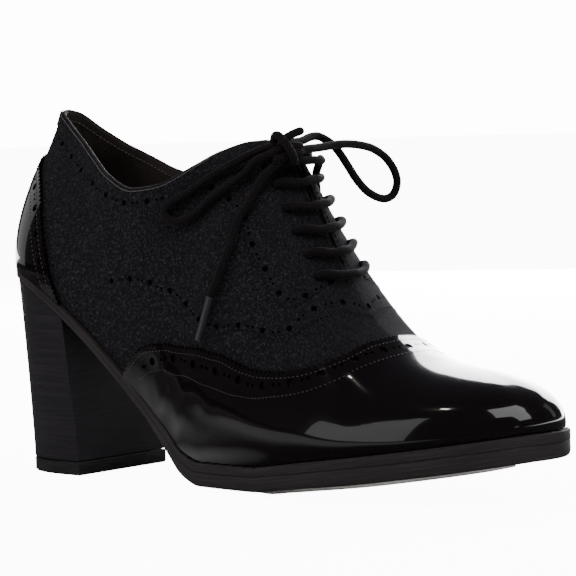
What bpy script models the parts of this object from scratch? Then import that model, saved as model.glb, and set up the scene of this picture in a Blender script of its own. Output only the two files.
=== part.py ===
"""A heeled lace-up oxford shoe for the right foot, as an assembly of separate solids.

Units are metres, +X runs from heel to toe, +Y to the wearer's left and +Z up.
The origin is the middle of the heel's top piece, on the floor.
"""

import math
from bisect import bisect_right

import bmesh
import bpy
from mathutils import Vector

# Driving dimensions
LAST_LENGTH = 0.241          # feather edge of the upper, heel back to toe tip, along X
BALL_WIDTH = 0.077           # feather edge across the ball
HEEL_WIDTH = 0.055           # feather edge across the seat
SEAT_HEIGHT = 0.0815         # feather edge at the back of the heel, above the floor
BACK_HEIGHT = 0.1405         # top of the back seam, above the floor
HEEL_CENTRE = 0.0225         # middle of the top piece, forward of the last's back end
CLEARANCE = 0.0003           # gap between pieces that touch
OVERLAY_GAP = 0.0009         # the same between a patent overlay and the wall it curves over
TONGUE_GAP = 0.0008          # the same between the tongue and the walls over it
LACE_LIFT = 0.0009           # gap between a lace bar and the facings, which curve under it
EYELET_DIP = 0.0004          # height of a lace bar's end above the facing, over its eyelet

# Upper, overlays and tongue
UPPER_WALL = 0.0020
OVERLAY_WALL = 0.0011
TAB_HALF_ROUND = 0.030       # half width of the back tab, share of the way round
TAB_FOOT = 0.90              # its lower and upper edge, shares of the wall's height
TAB_HEAD = 0.99
TONGUE_WALL = 0.0020
TONGUE_HALF_WIDTH_TOP = 0.018
TONGUE_HALF_WIDTH_END = 0.012
TONGUE_TOP_ROUND = 0.478     # where its top edge lies, behind the collar's front corner
TONGUE_RISE = 0.0050         # how far its top stands up in the notch
THROAT_GAP_TOP = 0.0060
THROAT_GAP_END = 0.0016
INSOLE_THICKNESS = 0.0020

# Sole
FOREFOOT_SOLE = 0.0089       # midsole and outsole together under the ball
TOE_SOLE = 0.0096
BREAK_SOLE = 0.0090          # where the forefoot turns up into the waist
SHANK_SOLE = 0.0064
SEAT_SOLE = 0.0036
MIDSOLE_SHARE = 0.38         # the upper layer's part of the whole sole
WELT_LEDGE = 0.0032          # how far the sole stands out past the feather edge
WAIST_LEDGE = 0.0016
SEAT_LEDGE = 0.0012
LAYER_STEP = 0.0004          # the lower layer's edge stands this far inside the upper one's
GRIP_THICKNESS = 0.0014
GRIP_INSET = 0.0055

# Heel
TOP_PIECE_HEIGHT = 0.0052
TOP_PIECE_LENGTH = 0.0370
TOP_PIECE_WIDTH = 0.0490
HEEL_TOP_BREAST = 0.0378     # breast at the top of the heel, forward of the last's back end
HEEL_SEAT_INSET = 0.0008

# Laces
LACE_DIAMETER = 0.0031
EYELET_RADIUS = 0.0023
EYELET_COUNT = 6
EYELET_PITCH = 0.00950       # along the front line of the instep
EYELET_FIRST = 0.0018        # first row, down from the top of the facings
EYELET_FROM_EDGE_TOP = 0.0112
EYELET_FROM_EDGE_END = 0.0145
AGLET_DIAMETER = 0.0034
AGLET_LENGTH = 0.0165
BAR_LEAN = 0.021             # how much further round a bar crosses the throat than it leaves its eyelet
BAR_STEPS = ((0.12, 0.85), (0.30, 1.0), (0.48, 1.0), (0.66, 1.0), (0.84, 1.0), (1.0, 1.0))
KNOT_SIZE = (0.0052, 0.0058, 0.0036)  # half sizes along the instep, across it and out from it
KNOT_STANDOFF = 0.0014       # from the knot's face to the middle of a cord's cut end
KNOT_PLACE = (0.526, 0.88)   # round and up of the facing under the knot, on the outer side

# Mesh fineness
STATIONS = 48                # along each side of the upper and of each sole layer
ROWS = 12                    # rows up the upper
CORD_SIDES = 2               # bevel resolution of a cord

COLOURS = {
    "felt": ((0.030, 0.031, 0.036), 0.95, 0.0),
    "patent": ((0.006, 0.005, 0.006), 0.06, 0.0),
    "lining": ((0.028, 0.024, 0.022), 0.60, 0.0),
    "sole_edge": ((0.016, 0.014, 0.015), 0.55, 0.0),
    "heel_cover": ((0.014, 0.013, 0.014), 0.45, 0.0),
    "top_piece": ((0.016, 0.014, 0.015), 0.70, 0.0),
    "grip": ((0.620, 0.590, 0.560), 0.70, 0.0),
    "lace": ((0.018, 0.016, 0.018), 0.85, 0.0),
    "aglet": ((0.060, 0.055, 0.060), 0.25, 0.0),
}

# The foot of the upper: a row for each section from the heel's back to the toe tip.
# along: share of LAST_LENGTH.  height: share of SEAT_HEIGHT.
# outer, inner: half widths as shares of BALL_WIDTH (of HEEL_WIDTH in the first two rows).
# swell: how far the wall bulges past its foot, share of BALL_WIDTH.
# swell_up: how high that pull reaches, share of the wall's height.
FOOT_COLUMNS = ("along", "height", "outer", "inner", "swell", "swell_up")
FOOT_ROWS = (
    (0.000, 1.000, 0.356, 0.356, 0.014, 0.42),
    (0.080, 0.935, 0.358, 0.358, 0.024, 0.42),
    (0.155, 0.808, 0.356, 0.345, 0.040, 0.42),
    (0.235, 0.622, 0.345, 0.300, 0.052, 0.42),
    (0.320, 0.415, 0.352, 0.268, 0.048, 0.42),
    (0.385, 0.263, 0.382, 0.276, 0.045, 0.40),
    (0.430, 0.165, 0.420, 0.312, 0.045, 0.40),
    (0.475, 0.130, 0.450, 0.362, 0.045, 0.40),
    (0.585, 0.130, 0.490, 0.446, 0.045, 0.40),
    (0.640, 0.149, 0.502, 0.484, 0.045, 0.42),
    (0.700, 0.173, 0.503, 0.503, 0.045, 0.46),
    (0.780, 0.203, 0.488, 0.497, 0.042, 0.52),
    (0.870, 0.238, 0.460, 0.470, 0.036, 0.56),
    (1.000, 0.292, 0.430, 0.440, 0.030, 0.58),
)
TOE_CLOSES_FROM = 0.740      # share of the length where the toe starts to round in
TOE_FULLNESS = 2.25
TOE_SHIFT = 0.062            # the toe tip's shift to the inner side, share of BALL_WIDTH
HEEL_CLOSES_FROM = 0.120
HEEL_FULLNESS = 2.15

# The top of the upper: the collar, the facings' front line and the vamp's centre line.
# round: share of the way round from heel back to toe tip.  along: share of LAST_LENGTH.
# height: share of BACK_HEIGHT.  outer, inner: half widths as shares of BALL_WIDTH.
# inner_sink: how far the inner side's line lies below the outer one, share of BACK_HEIGHT.
# crown: how far the top pulls the wall outwards, share of the half width there.
# drop: how far it pulls it down, share of the wall's height (an upright edge, as at the collar).
# middle: the centre line's shift to the inner side, share of BALL_WIDTH.
TOP_COLUMNS = ("round", "along", "height", "outer", "inner", "inner_sink", "crown", "drop", "middle")
TOP_ROWS = (
    (0.000, 0.0690, 1.000, 0.000, 0.000, 0.000, 0.42, 0.34, 0.000),
    (0.070, 0.0800, 0.991, 0.066, 0.070, 0.002, 0.36, 0.34, 0.000),
    (0.150, 0.1200, 0.952, 0.132, 0.142, 0.018, 0.26, 0.34, 0.000),
    (0.220, 0.1660, 0.912, 0.204, 0.208, 0.030, 0.18, 0.34, 0.000),
    (0.280, 0.2130, 0.866, 0.277, 0.268, 0.030, 0.12, 0.34, 0.000),
    (0.330, 0.2620, 0.815, 0.333, 0.315, 0.012, 0.10, 0.34, 0.000),
    (0.375, 0.3150, 0.781, 0.351, 0.330, 0.000, 0.10, 0.32, 0.000),
    (0.410, 0.3640, 0.790, 0.326, 0.308, 0.000, 0.12, 0.28, 0.000),
    (0.440, 0.4100, 0.832, 0.247, 0.238, 0.000, 0.20, 0.20, 0.000),
    (0.465, 0.4520, 0.876, 0.165, 0.160, 0.000, 0.36, 0.10, -0.002),
    (0.485, 0.4920, 0.899, 0.090, 0.090, 0.000, 0.48, 0.03, -0.006),
    (0.505, 0.5370, 0.905, 0.000, 0.000, 0.000, 0.50, 0.03, -0.012),
    (0.535, 0.5660, 0.850, 0.000, 0.000, 0.000, 0.48, 0.04, -0.024),
    (0.570, 0.6000, 0.750, 0.000, 0.000, 0.000, 0.44, 0.05, -0.038),
    (0.605, 0.6360, 0.645, 0.000, 0.000, 0.000, 0.40, 0.05, -0.053),
    (0.640, 0.6760, 0.534, 0.000, 0.000, 0.000, 0.38, 0.05, -0.062),
    (0.680, 0.7200, 0.428, 0.000, 0.000, 0.000, 0.38, 0.05, -0.050),
    (0.730, 0.7660, 0.362, 0.000, 0.000, 0.000, 0.42, 0.03, -0.018),
    (0.800, 0.8220, 0.322, 0.000, 0.000, 0.000, 0.52, 0.01, 0.022),
    (0.890, 0.8720, 0.306, 0.000, 0.000, 0.000, 0.60, 0.00, 0.044),
    (1.000, 0.9150, 0.293, 0.000, 0.000, 0.000, 0.62, 0.00, 0.060),
)
LEVEL_ROUND = 0.440          # from here on the wall arrives at the top line's own slope
CORNER_ROUND = 0.505         # where the collar turns into the facing's front line
THROAT_END_ROUND = 0.630     # bottom of the throat slit
WING_PEAK_ROUND = 0.710      # where the wing's edge reaches the vamp's centre line

# The wing of the toe cap, the heel counter and the back tab, as curves on the upper.
# round: share of the way round.  up: share of the wall's height.
WING_COLUMNS = ("round", "up")
WING_ROWS = (
    (0.362, 0.000),
    (0.376, 0.115),
    (0.392, 0.205),
    (0.415, 0.275),
    (0.438, 0.298),
    (0.474, 0.281),
    (0.505, 0.262),
    (0.535, 0.258),
    (0.565, 0.270),
    (0.592, 0.293),
    (0.617, 0.330),
    (0.642, 0.405),
    (0.662, 0.515),
    (0.685, 0.730),
    (WING_PEAK_ROUND, 1.000),
)
COUNTER_COLUMNS = ("round", "up")
COUNTER_ROWS = (
    (0.000, 0.700),
    (0.070, 0.665),
    (0.120, 0.600),
    (0.160, 0.520),
    (0.190, 0.420),
    (0.213, 0.310),
    (0.230, 0.200),
    (0.246, 0.080),
    (0.262, 0.000),
)

# Whole upright thickness of the sole, and how far it stands out past the feather edge,
# at shares of the length.
SOLE_COLUMNS = ("along", "thickness")
SOLE_ROWS = (
    (0.000, SEAT_SOLE),
    (0.160, 0.75 * SHANK_SOLE),
    (0.320, SHANK_SOLE),
    (0.400, BREAK_SOLE),
    (0.475, FOREFOOT_SOLE),
    (0.585, FOREFOOT_SOLE),
    (0.800, TOE_SOLE),
    (1.000, TOE_SOLE),
)
LEDGE_COLUMNS = ("along", "out")
LEDGE_ROWS = (
    (0.000, SEAT_LEDGE),
    (0.200, WAIST_LEDGE),
    (0.360, WAIST_LEDGE),
    (0.500, WELT_LEDGE),
    (1.000, WELT_LEDGE),
)

# Where the loose lace runs. The first three routes lie on the upper: round and up of the wall,
# and the height of the cord's middle above it in millimetres. The inner loop hangs free: its
# places are millimetres from the last's back end, from the middle plane and from the floor.
LOOP_OUTER_ROUTE = (
    (0.524, 0.874, 7.5), (0.516, 0.847, 6.0), (0.505, 0.821, 5.0), (0.495, 0.816, 4.0), (0.486, 0.792, 3.0),
    (0.468, 0.804, 2.5), (0.446, 0.848, 2.2), (0.428, 0.865, 2.2), (0.421, 0.845, 2.2),
    (0.425, 0.800, 2.2), (0.435, 0.752, 2.2), (0.448, 0.719, 2.2), (0.461, 0.695, 2.2),
    (0.476, 0.690, 2.2), (0.488, 0.710, 2.4), (0.498, 0.745, 3.2), (0.509, 0.778, 5.0),
    (0.517, 0.808, 6.0), (0.522, 0.846, 7.5),
)
END_OUTER_ROUTE = (
    (0.531, 0.845, 6.8), (0.528, 0.818, 5.5), (0.523, 0.761, 4.2), (0.520, 0.725, 3.4), (0.515, 0.650, 2.3),
    (0.506, 0.587, 2.3), (0.504, 0.525, 2.3), (0.500, 0.475, 2.3), (0.496, 0.426, 2.3),
    (0.493, 0.400, 2.3),
)
END_INNER_ROUTE = (
    (0.534, 0.860, 5.5), (0.528, 0.800, 4.2), (0.522, 0.740, 2.6), (0.516, 0.660, 2.3),
    (0.510, 0.590, 2.3), (0.505, 0.525, 2.3), (0.500, 0.465, 2.3), (0.497, 0.430, 2.3),
)
END_INNER_START = ((140.9, -9.4, 120.5), (142.4, -6.4, 118.8), (143.2, -1.0, 118.9), (142.4, 4.4, 118.4))
AGLET_OUTER_TIP = (0.486, 0.302, 2.6)
AGLET_INNER_TIP = (0.486, 0.330, 2.6)
LOOP_INNER_ROUTE = (
    (138.0, -7.8, 125.0), (137.6, -4.0, 125.6), (137.0, 0.6, 126.0), (136.0, 6.2, 127.2), (135.9, 10.9, 127.4),
    (136.6, 14.6, 125.9), (137.6, 17.4, 123.9), (139.0, 20.0, 120.3), (140.1, 23.2, 115.4),
    (140.9, 26.8, 110.6), (141.8, 31.3, 106.3), (143.0, 36.3, 103.7), (143.9, 40.0, 103.1),
    (144.7, 42.9, 104.2), (145.2, 44.6, 106.7), (145.5, 45.0, 109.9), (145.3, 43.6, 113.7),
    (144.8, 40.9, 117.3), (144.3, 37.3, 120.0), (143.8, 32.2, 122.3), (143.2, 26.6, 123.5),
    (142.3, 21.0, 124.1), (141.6, 14.9, 124.1), (141.4, 8.9, 123.6), (141.6, 3.2, 123.2),
    (141.8, -2.4, 123.0), (141.7, -6.8, 122.6),
)


def curve(xs, ys):
    """A smooth curve through the points that never overshoots between two of them."""
    step = [b - a for a, b in zip(xs[:-1], xs[1:])]
    slope = [(b - a) / h for a, b, h in zip(ys[:-1], ys[1:], step)]
    tangent = [slope[0]] + [0.0] * (len(xs) - 2) + [slope[-1]]
    for i in range(1, len(xs) - 1):
        if slope[i - 1] * slope[i] > 0:
            first = 2 * step[i] + step[i - 1]
            second = step[i] + 2 * step[i - 1]
            tangent[i] = (first + second) / (first / slope[i - 1] + second / slope[i])

    def read(x):
        i = min(max(bisect_right(xs, x) - 1, 0), len(step) - 1)
        t = min(max((x - xs[i]) / step[i], 0.0), 1.0)
        return (
            (2 * t**3 - 3 * t**2 + 1) * ys[i]
            + (t**3 - 2 * t**2 + t) * step[i] * tangent[i]
            + (3 * t**2 - 2 * t**3) * ys[i + 1]
            + (t**3 - t**2) * step[i] * tangent[i + 1]
        )

    return read


def reader(columns, rows):
    """A function that reads one named column of a table at any place along its first column."""
    places = [row[0] for row in rows]
    curves = {name: curve(places, [row[i] for row in rows]) for i, name in enumerate(columns)}
    return lambda name, place: curves[name](place)


foot = reader(FOOT_COLUMNS, FOOT_ROWS)
top = reader(TOP_COLUMNS, TOP_ROWS)
wing = reader(WING_COLUMNS, WING_ROWS)
counter = reader(COUNTER_COLUMNS, COUNTER_ROWS)
sole = reader(SOLE_COLUMNS, SOLE_ROWS)
ledge = reader(LEDGE_COLUMNS, LEDGE_ROWS)


def along_of(share_round):
    """Share of the length at a share of the way round: dense at the heel's back and the toe."""
    return (1.0 - math.cos(math.pi * share_round)) / 2.0


def round_of(share_along):
    return math.acos(1.0 - 2.0 * min(max(share_along, 0.0), 1.0)) / math.pi


def forward(distance):
    """X of a place that lies this far forward of the last's back end."""
    return distance - HEEL_CENTRE


def foot_height(share):
    return foot("height", share) * SEAT_HEIGHT


def bed_height(x):
    """Height of the sole's upper face at a world X: straight between the sole's stations."""
    place = min(max((x + HEEL_CENTRE) / LAST_LENGTH, 0.0), 1.0)
    station = min(int(round_of(place) * STATIONS), STATIONS - 1)
    back, front = along_of(station / STATIONS), along_of((station + 1) / STATIONS)
    run = (place - back) / (front - back)
    return foot_height(back) + (foot_height(front) - foot_height(back)) * run


def half_width(share, side):
    """Signed Y of the feather edge: side is -1 for the outer side and +1 for the inner one."""
    name = "outer" if side < 0 else "inner"
    heel_part = min(max(1.0 - share / 0.2, 0.0), 1.0)
    scale = BALL_WIDTH + (HEEL_WIDTH / 0.714 - BALL_WIDTH) * heel_part
    width = foot(name, share) * scale
    middle = 0.0
    if share > TOE_CLOSES_FROM:
        run = (share - TOE_CLOSES_FROM) / (1.0 - TOE_CLOSES_FROM)
        close = max(1.0 - run**TOE_FULLNESS, 0.0) ** (1.0 / TOE_FULLNESS)
        middle = TOE_SHIFT * BALL_WIDTH
        return middle + (side * width - middle) * close
    if share < HEEL_CLOSES_FROM:
        run = (HEEL_CLOSES_FROM - share) / HEEL_CLOSES_FROM
        width *= max(1.0 - run**HEEL_FULLNESS, 0.0) ** (1.0 / HEEL_FULLNESS)
    return side * width


def turn_of(share_round, side):
    """Turn of a share of the way round, on the outer (-1) or the inner (+1) side."""
    return share_round / 2.0 if side < 0 else 1.0 - share_round / 2.0


def side_and_round(turn):
    """Side and share of the way round of a turn: 0 is the heel's back, 0.5 the toe tip."""
    turn = turn % 1.0
    return (-1, 2.0 * turn) if turn <= 0.5 else (1, 2.0 - 2.0 * turn)


def outline_point(turn):
    """Feather edge at a turn: 0 at the heel's back, 0.5 at the toe tip, 1 at the back again."""
    side, share_round = side_and_round(turn)
    share = along_of(share_round)
    return Vector((forward(share * LAST_LENGTH), half_width(share, side), foot_height(share)))


def outline_normal(turn):
    """Outward direction of the feather edge, level with the floor."""
    small = 0.003
    run = outline_point(turn + small) - outline_point(turn - small)
    return Vector((-run.y, run.x, 0.0)).normalized() * -1.0


def centre_line(share_round):
    """X and Z of the top line at a share of the way round."""
    return forward(top("along", share_round) * LAST_LENGTH), top("height", share_round) * BACK_HEIGHT


def centre_shift(share_round):
    return top("middle", share_round) * BALL_WIDTH


def shell_point(turn, up):
    """A point of the upper's outer face: up runs from 0 at the feather edge to 1 at the top line."""
    side, share_round = side_and_round(turn)
    share = along_of(share_round)
    low = outline_point(turn)
    x, z = centre_line(share_round)
    y = centre_shift(share_round) + side * top("outer" if side < 0 else "inner", share_round) * BALL_WIDTH
    high = Vector((x, y, z))
    if side > 0:
        high.z -= top("inner_sink", share_round) * BACK_HEIGHT
    out = outline_normal(turn)
    height = high.z - low.z
    reach = max((low.xy - high.xy).length, 0.25 * BALL_WIDTH)
    swell = foot("swell", share) * BALL_WIDTH
    crown = top("crown", share_round) * reach
    drop = top("drop", share_round) * height
    small = 0.01
    ahead = Vector((*centre_line(min(share_round + small, 1.0)), 0.0))
    behind = Vector((*centre_line(max(share_round - small, 0.0)), 0.0))
    slope = (ahead.y - behind.y) / max(ahead.x - behind.x, 1e-6)
    level = min(max((share_round - LEVEL_ROUND) / (CORNER_ROUND - LEVEL_ROUND), 0.0), 1.0)
    pull_low = low + out * swell + Vector((0.0, 0.0, foot("swell_up", share) * height))
    pull_high = high + out * crown + Vector((0.0, 0.0, slope * out.x * crown * level - drop))
    a, b = 1.0 - up, up
    return a**3 * low + 3 * a * a * b * pull_low + 3 * a * b * b * pull_high + b**3 * high


def shell_normal(turn, up):
    """Outward direction of the upper's outer face."""
    small = 0.004
    low, high = max(up - small, 0.0), min(up + small, 1.0)
    near_tip = 0.004
    around = shell_point(turn + near_tip, min(up, 0.985)) - shell_point(turn - near_tip, min(up, 0.985))
    rise = shell_point(turn, high) - shell_point(turn, low)
    return around.cross(rise).normalized()


def ridge_normal(share_round):
    """Outward direction on the centre plane, where both sides of the vamp meet."""
    small = 0.012
    x0, z0 = centre_line(max(share_round - small, 0.0))
    x1, z1 = centre_line(min(share_round + small, 1.0))
    return Vector((z0 - z1, 0.0, x1 - x0)).normalized()


def offset_point(turn, up, offset):
    """The upper's face moved outwards by offset."""
    share_round = side_and_round(turn)[1]
    if up > 0.9999 and share_round >= CORNER_ROUND:
        return shell_point(turn, 1.0) + ridge_normal(share_round) * offset
    return shell_point(turn, up) + shell_normal(turn, up) * offset


def throat_gap(share_round):
    """Width of the slit between the facings."""
    run = (share_round - CORNER_ROUND) / (THROAT_END_ROUND - CORNER_ROUND)
    run = min(max(run, 0.0), 1.0)
    return THROAT_GAP_TOP + (THROAT_GAP_END - THROAT_GAP_TOP) * run


def up_at_width(turn, width):
    """How far up a column comes within this distance of the centre line.

    Behind the collar's corner the walls stop short of it, and their curves are followed past 1.
    """
    side, share_round = side_and_round(turn)
    middle = centre_shift(share_round)
    low, high = 0.3, 1.0 if share_round >= CORNER_ROUND else 1.4
    for _ in range(30):
        mean = (low + high) / 2.0
        if side * (shell_point(turn, mean).y - middle) > width:
            low = mean
        else:
            high = mean
    return low


def throat_up(turn):
    """Where a column of the upper stops: short of the centre line by half the gap in the throat."""
    share_round = side_and_round(turn)[1]
    half = throat_gap(share_round) / 2.0
    if share_round < CORNER_ROUND - 0.03 or share_round > THROAT_END_ROUND:
        return 1.0
    if abs(shell_point(turn, 1.0).y - centre_shift(share_round)) > half:
        return 1.0
    return up_at_width(turn, half)


def material(name):
    """One finish, made once."""
    found = bpy.data.materials.get(name)
    if found:
        return found
    colour, roughness, metallic = COLOURS[name]
    made = bpy.data.materials.new(name)
    made.use_nodes = True
    shader = made.node_tree.nodes["Principled BSDF"]
    shader.inputs["Base Color"].default_value = (*colour, 1.0)
    shader.inputs["Roughness"].default_value = roughness
    shader.inputs["Metallic"].default_value = metallic
    return made


def add_object(name, points, faces, finish):
    """A smooth-shaded mesh object from points and faces, with its normals pointing out."""
    mesh = bpy.data.meshes.new(name)
    mesh.from_pydata([tuple(p) for p in points], [], faces)
    shape = bmesh.new()
    shape.from_mesh(mesh)
    bmesh.ops.recalc_face_normals(shape, faces=shape.faces)
    if shape.calc_volume(signed=True) < 0.0:
        bmesh.ops.reverse_faces(shape, faces=shape.faces)
    shape.to_mesh(mesh)
    shape.free()
    mesh.shade_smooth()
    mesh.set_sharp_from_angle(angle=math.radians(40))
    made = bpy.data.objects.new(name, mesh)
    made.data.materials.append(material(finish))
    bpy.context.scene.collection.objects.link(made)
    return made


def sheet_solid(name, outer, inner, finish, closed_round=False, weld_top=None):
    """A closed wall between two grids of points, outer[column][row] and inner[column][row].

    closed_round joins the last column to the first. weld_top maps a column to the column
    whose top point it shares, as where both sides of the vamp meet at the toe.
    """
    weld_top = weld_top or {}
    seam = set(weld_top) | set(weld_top.values())
    if seam:
        seam.add((min(weld_top) + weld_top[min(weld_top)]) // 2)
    columns, rows = len(outer), len(outer[0])
    points = []
    index = []
    for grid in (outer, inner):
        layer = [[0] * rows for _ in range(columns)]
        for c in range(columns):
            for r in range(rows):
                if r == rows - 1 and c in weld_top:
                    continue
                layer[c][r] = len(points)
                points.append(grid[c][r])
        for c, other in weld_top.items():
            layer[c][rows - 1] = layer[other][rows - 1]
        index.append(layer)
    out, inn = index
    faces = []
    spans = columns if closed_round else columns - 1
    for c in range(spans):
        d = (c + 1) % columns
        for r in range(rows - 1):
            for layer, flip in ((out, False), (inn, True)):
                face = [layer[c][r], layer[d][r], layer[d][r + 1], layer[c][r + 1]]
                face = [v for i, v in enumerate(face) if v != face[i - 1]]
                if len(face) > 2:
                    faces.append(face[::-1] if flip else face)
        faces.append([out[c][0], inn[c][0], inn[d][0], out[d][0]])
        if c not in seam or d not in seam:
            last = rows - 1
            faces.append([out[c][last], out[d][last], inn[d][last], inn[c][last]])
    if not closed_round:
        for c in (0, columns - 1):
            for r in range(rows - 1):
                face = [out[c][r], out[c][r + 1], inn[c][r + 1], inn[c][r]]
                faces.append(face if c == 0 else face[::-1])
    return add_object(name, points, faces, finish)


def column_shares():
    """Shares of the way round of the upper's columns: one each at the corner, throat end and wing peak."""
    shares = [i / STATIONS for i in range(STATIONS + 1)]
    for wanted in (CORNER_ROUND, THROAT_END_ROUND, WING_PEAK_ROUND):
        nearest = min(range(1, STATIONS), key=lambda i: abs(shares[i] - wanted))
        shares[nearest] = wanted
    return shares


def upper():
    """The felt upper with its lining: one hollow wall, open at the collar, the throat and underneath."""
    shares = column_shares()
    turns = [s / 2.0 for s in shares] + [1.0 - s / 2.0 for s in shares[-2:0:-1]]
    outer, inner = [], []
    for turn in turns:
        limit = throat_up(turn)
        ups = [limit * r / (ROWS - 1) for r in range(ROWS)]
        outer.append([offset_point(turn, up, 0.0) for up in ups])
        inner.append([offset_point(turn, up, -UPPER_WALL) for up in ups])
    sit_on_sole(outer, inner)
    count = len(turns)
    weld = {}
    for c in range(count // 2 + 1, count):
        share_round = 2.0 - 2.0 * turns[c]
        if share_round >= THROAT_END_ROUND - 1e-9:
            weld[c] = count - c
            middle = (outer[c][-1] + outer[count - c][-1]) / 2.0
            outer[count - c][-1] = middle
            middle_in = (inner[c][-1] + inner[count - c][-1]) / 2.0
            inner[count - c][-1] = middle_in
    made = sheet_solid("upper", outer, inner, "felt", closed_round=True, weld_top=weld)
    cut_eyelets(made)
    return made


def facing_rows():
    """For each row of eyelets: the share of the way round and the arc length from the top."""
    steps = 400
    shares = [CORNER_ROUND + (THROAT_END_ROUND - CORNER_ROUND) * i / steps for i in range(steps + 1)]
    lengths = [0.0]
    for a, b in zip(shares[:-1], shares[1:]):
        xa, za = centre_line(a)
        xb, zb = centre_line(b)
        lengths.append(lengths[-1] + math.hypot(xb - xa, zb - za))
    share_at = curve(lengths, shares)
    return [share_at(EYELET_FIRST + EYELET_PITCH * i) for i in range(EYELET_COUNT)]


def eyelet_place(share_round, side):
    """Turn and up of an eyelet, measured along the wall from the facing's edge."""
    turn = turn_of(share_round, side)
    run = (share_round - CORNER_ROUND) / (THROAT_END_ROUND - CORNER_ROUND)
    wanted = EYELET_FROM_EDGE_TOP + (EYELET_FROM_EDGE_END - EYELET_FROM_EDGE_TOP) * run
    up = throat_up(turn)
    here = shell_point(turn, up)
    walked = 0.0
    while walked < wanted and up > 0.3:
        up -= 0.002
        there = shell_point(turn, up)
        walked += (there - here).length
        here = there
    return turn, up


def cutter(name, place, axis, radius, length):
    """A round punch for a Boolean, left out of the build."""
    shape = bmesh.new()
    bmesh.ops.create_cone(shape, cap_ends=True, segments=12, radius1=radius, radius2=radius, depth=length)
    turn = axis.to_track_quat("Z", "Y").to_matrix().to_4x4()
    turn.translation = place
    shape.transform(turn)
    mesh = bpy.data.meshes.new(name)
    shape.to_mesh(mesh)
    shape.free()
    made = bpy.data.objects.new(name, mesh)
    made.hide_render = True
    made.display_type = "WIRE"
    bpy.context.scene.collection.objects.link(made)
    return made


def cut_eyelets(made):
    """Punches the eyelets through both facings."""
    for i, share_round in enumerate(facing_rows()):
        for side, word in ((-1, "outer"), (1, "inner")):
            turn, up = eyelet_place(share_round, side)
            axis = shell_normal(turn, up)
            place = shell_point(turn, up) - axis * UPPER_WALL / 2.0
            punch = cutter(f"punch_{word}_{i + 1}", place, axis, EYELET_RADIUS, 4.0 * UPPER_WALL)
            cut = made.modifiers.new(punch.name, "BOOLEAN")
            cut.operation = "DIFFERENCE"
            cut.object = punch


def wing_edge(share_round):
    """The wing cap's upper edge: it climbs to the vamp's centre line and stays there to the toe."""
    if share_round >= WING_PEAK_ROUND:
        return 1.0
    return max(wing("up", share_round), 0.012)


def counter_edge(share_round):
    return max(counter("up", share_round), 0.012)


def wing_cap():
    """The patent toe cap with its wings, welded over the toe."""
    first = WING_ROWS[0][0]
    low, high = OVERLAY_GAP, OVERLAY_GAP + OVERLAY_WALL
    shares = [first] + [share for share in column_shares() if share > first + 0.005]
    turns = [s / 2.0 for s in shares] + [1.0 - s / 2.0 for s in shares[-2::-1]]
    count = len(turns)
    outer, inner = [], []
    for turn in turns:
        share_round = side_and_round(turn)[1]
        limit = wing_edge(share_round)
        ups = [limit * r / (ROWS - 1) for r in range(ROWS)]
        outer.append([offset_point(turn, up, high) for up in ups])
        inner.append([offset_point(turn, up, low) for up in ups])
    sit_on_sole(outer, inner)
    weld = {count - 1 - c: c for c in range(shares.index(WING_PEAK_ROUND), count // 2)}
    for other, c in weld.items():
        outer[c][-1] = (outer[c][-1] + outer[other][-1]) / 2.0
        inner[c][-1] = (inner[c][-1] + inner[other][-1]) / 2.0
    return sheet_solid("wing_cap", outer, inner, "patent", weld_top=weld)


def heel_counter():
    """The patent counter round the heel's back."""
    last = COUNTER_ROWS[-1][0]
    steps, rows = 12, 8
    shares = [last * i / steps for i in range(steps, 0, -1)]
    turns = [1.0 - s / 2.0 for s in shares] + [0.0] + [s / 2.0 for s in shares[::-1]]
    outer, inner = [], []
    for turn in turns:
        share_round = side_and_round(turn)[1]
        limit = counter_edge(share_round)
        ups = [limit * r / (rows - 1) for r in range(rows)]
        outer.append([offset_point(turn, up, OVERLAY_GAP + OVERLAY_WALL) for up in ups])
        inner.append([offset_point(turn, up, OVERLAY_GAP) for up in ups])
    sit_on_sole(outer, inner)
    return sheet_solid("heel_counter", outer, inner, "patent")


def back_tab():
    """The small patent tab at the top of the back seam."""
    turns = [TAB_HALF_ROUND * (i / 3.0 - 1.0) / 2.0 for i in range(7)]
    ups = [TAB_FOOT + (TAB_HEAD - TAB_FOOT) * i / 4.0 for i in range(5)]
    outer = [[offset_point(turn % 1.0, up, OVERLAY_GAP + OVERLAY_WALL) for up in ups] for turn in turns]
    inner = [[offset_point(turn % 1.0, up, OVERLAY_GAP) for up in ups] for turn in turns]
    return sheet_solid("back_tab", outer, inner, "patent")


def sit_on_sole(outer, inner):
    """Sets the foot of a wall off the sole by the clearance."""
    for column in outer + inner:
        column[0].z = bed_height(column[0].x) + CLEARANCE


def tongue():
    """The tongue: a curved sheet under the facings whose top shows in the collar's front notch."""
    start = THROAT_END_ROUND + 0.015
    below = [start + (CORNER_ROUND - start) * i / 13.0 for i in range(14)]
    above = [CORNER_ROUND + (TONGUE_TOP_ROUND - CORNER_ROUND) * i / 4.0 for i in range(1, 5)]
    outer, inner = [], []
    for i, share_round in enumerate(below + above):
        run = i / (len(below + above) - 1)
        half = TONGUE_HALF_WIDTH_END + (TONGUE_HALF_WIDTH_TOP - TONGUE_HALF_WIDTH_END) * run
        rise = TONGUE_RISE * max(i - len(below) + 1, 0) / 4.0
        line = tongue_row(share_round, half, rise)
        outer.append([place for place, _ in line])
        inner.append([place for _, place in line])
    return sheet_solid("tongue", outer, inner, "felt")


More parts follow.
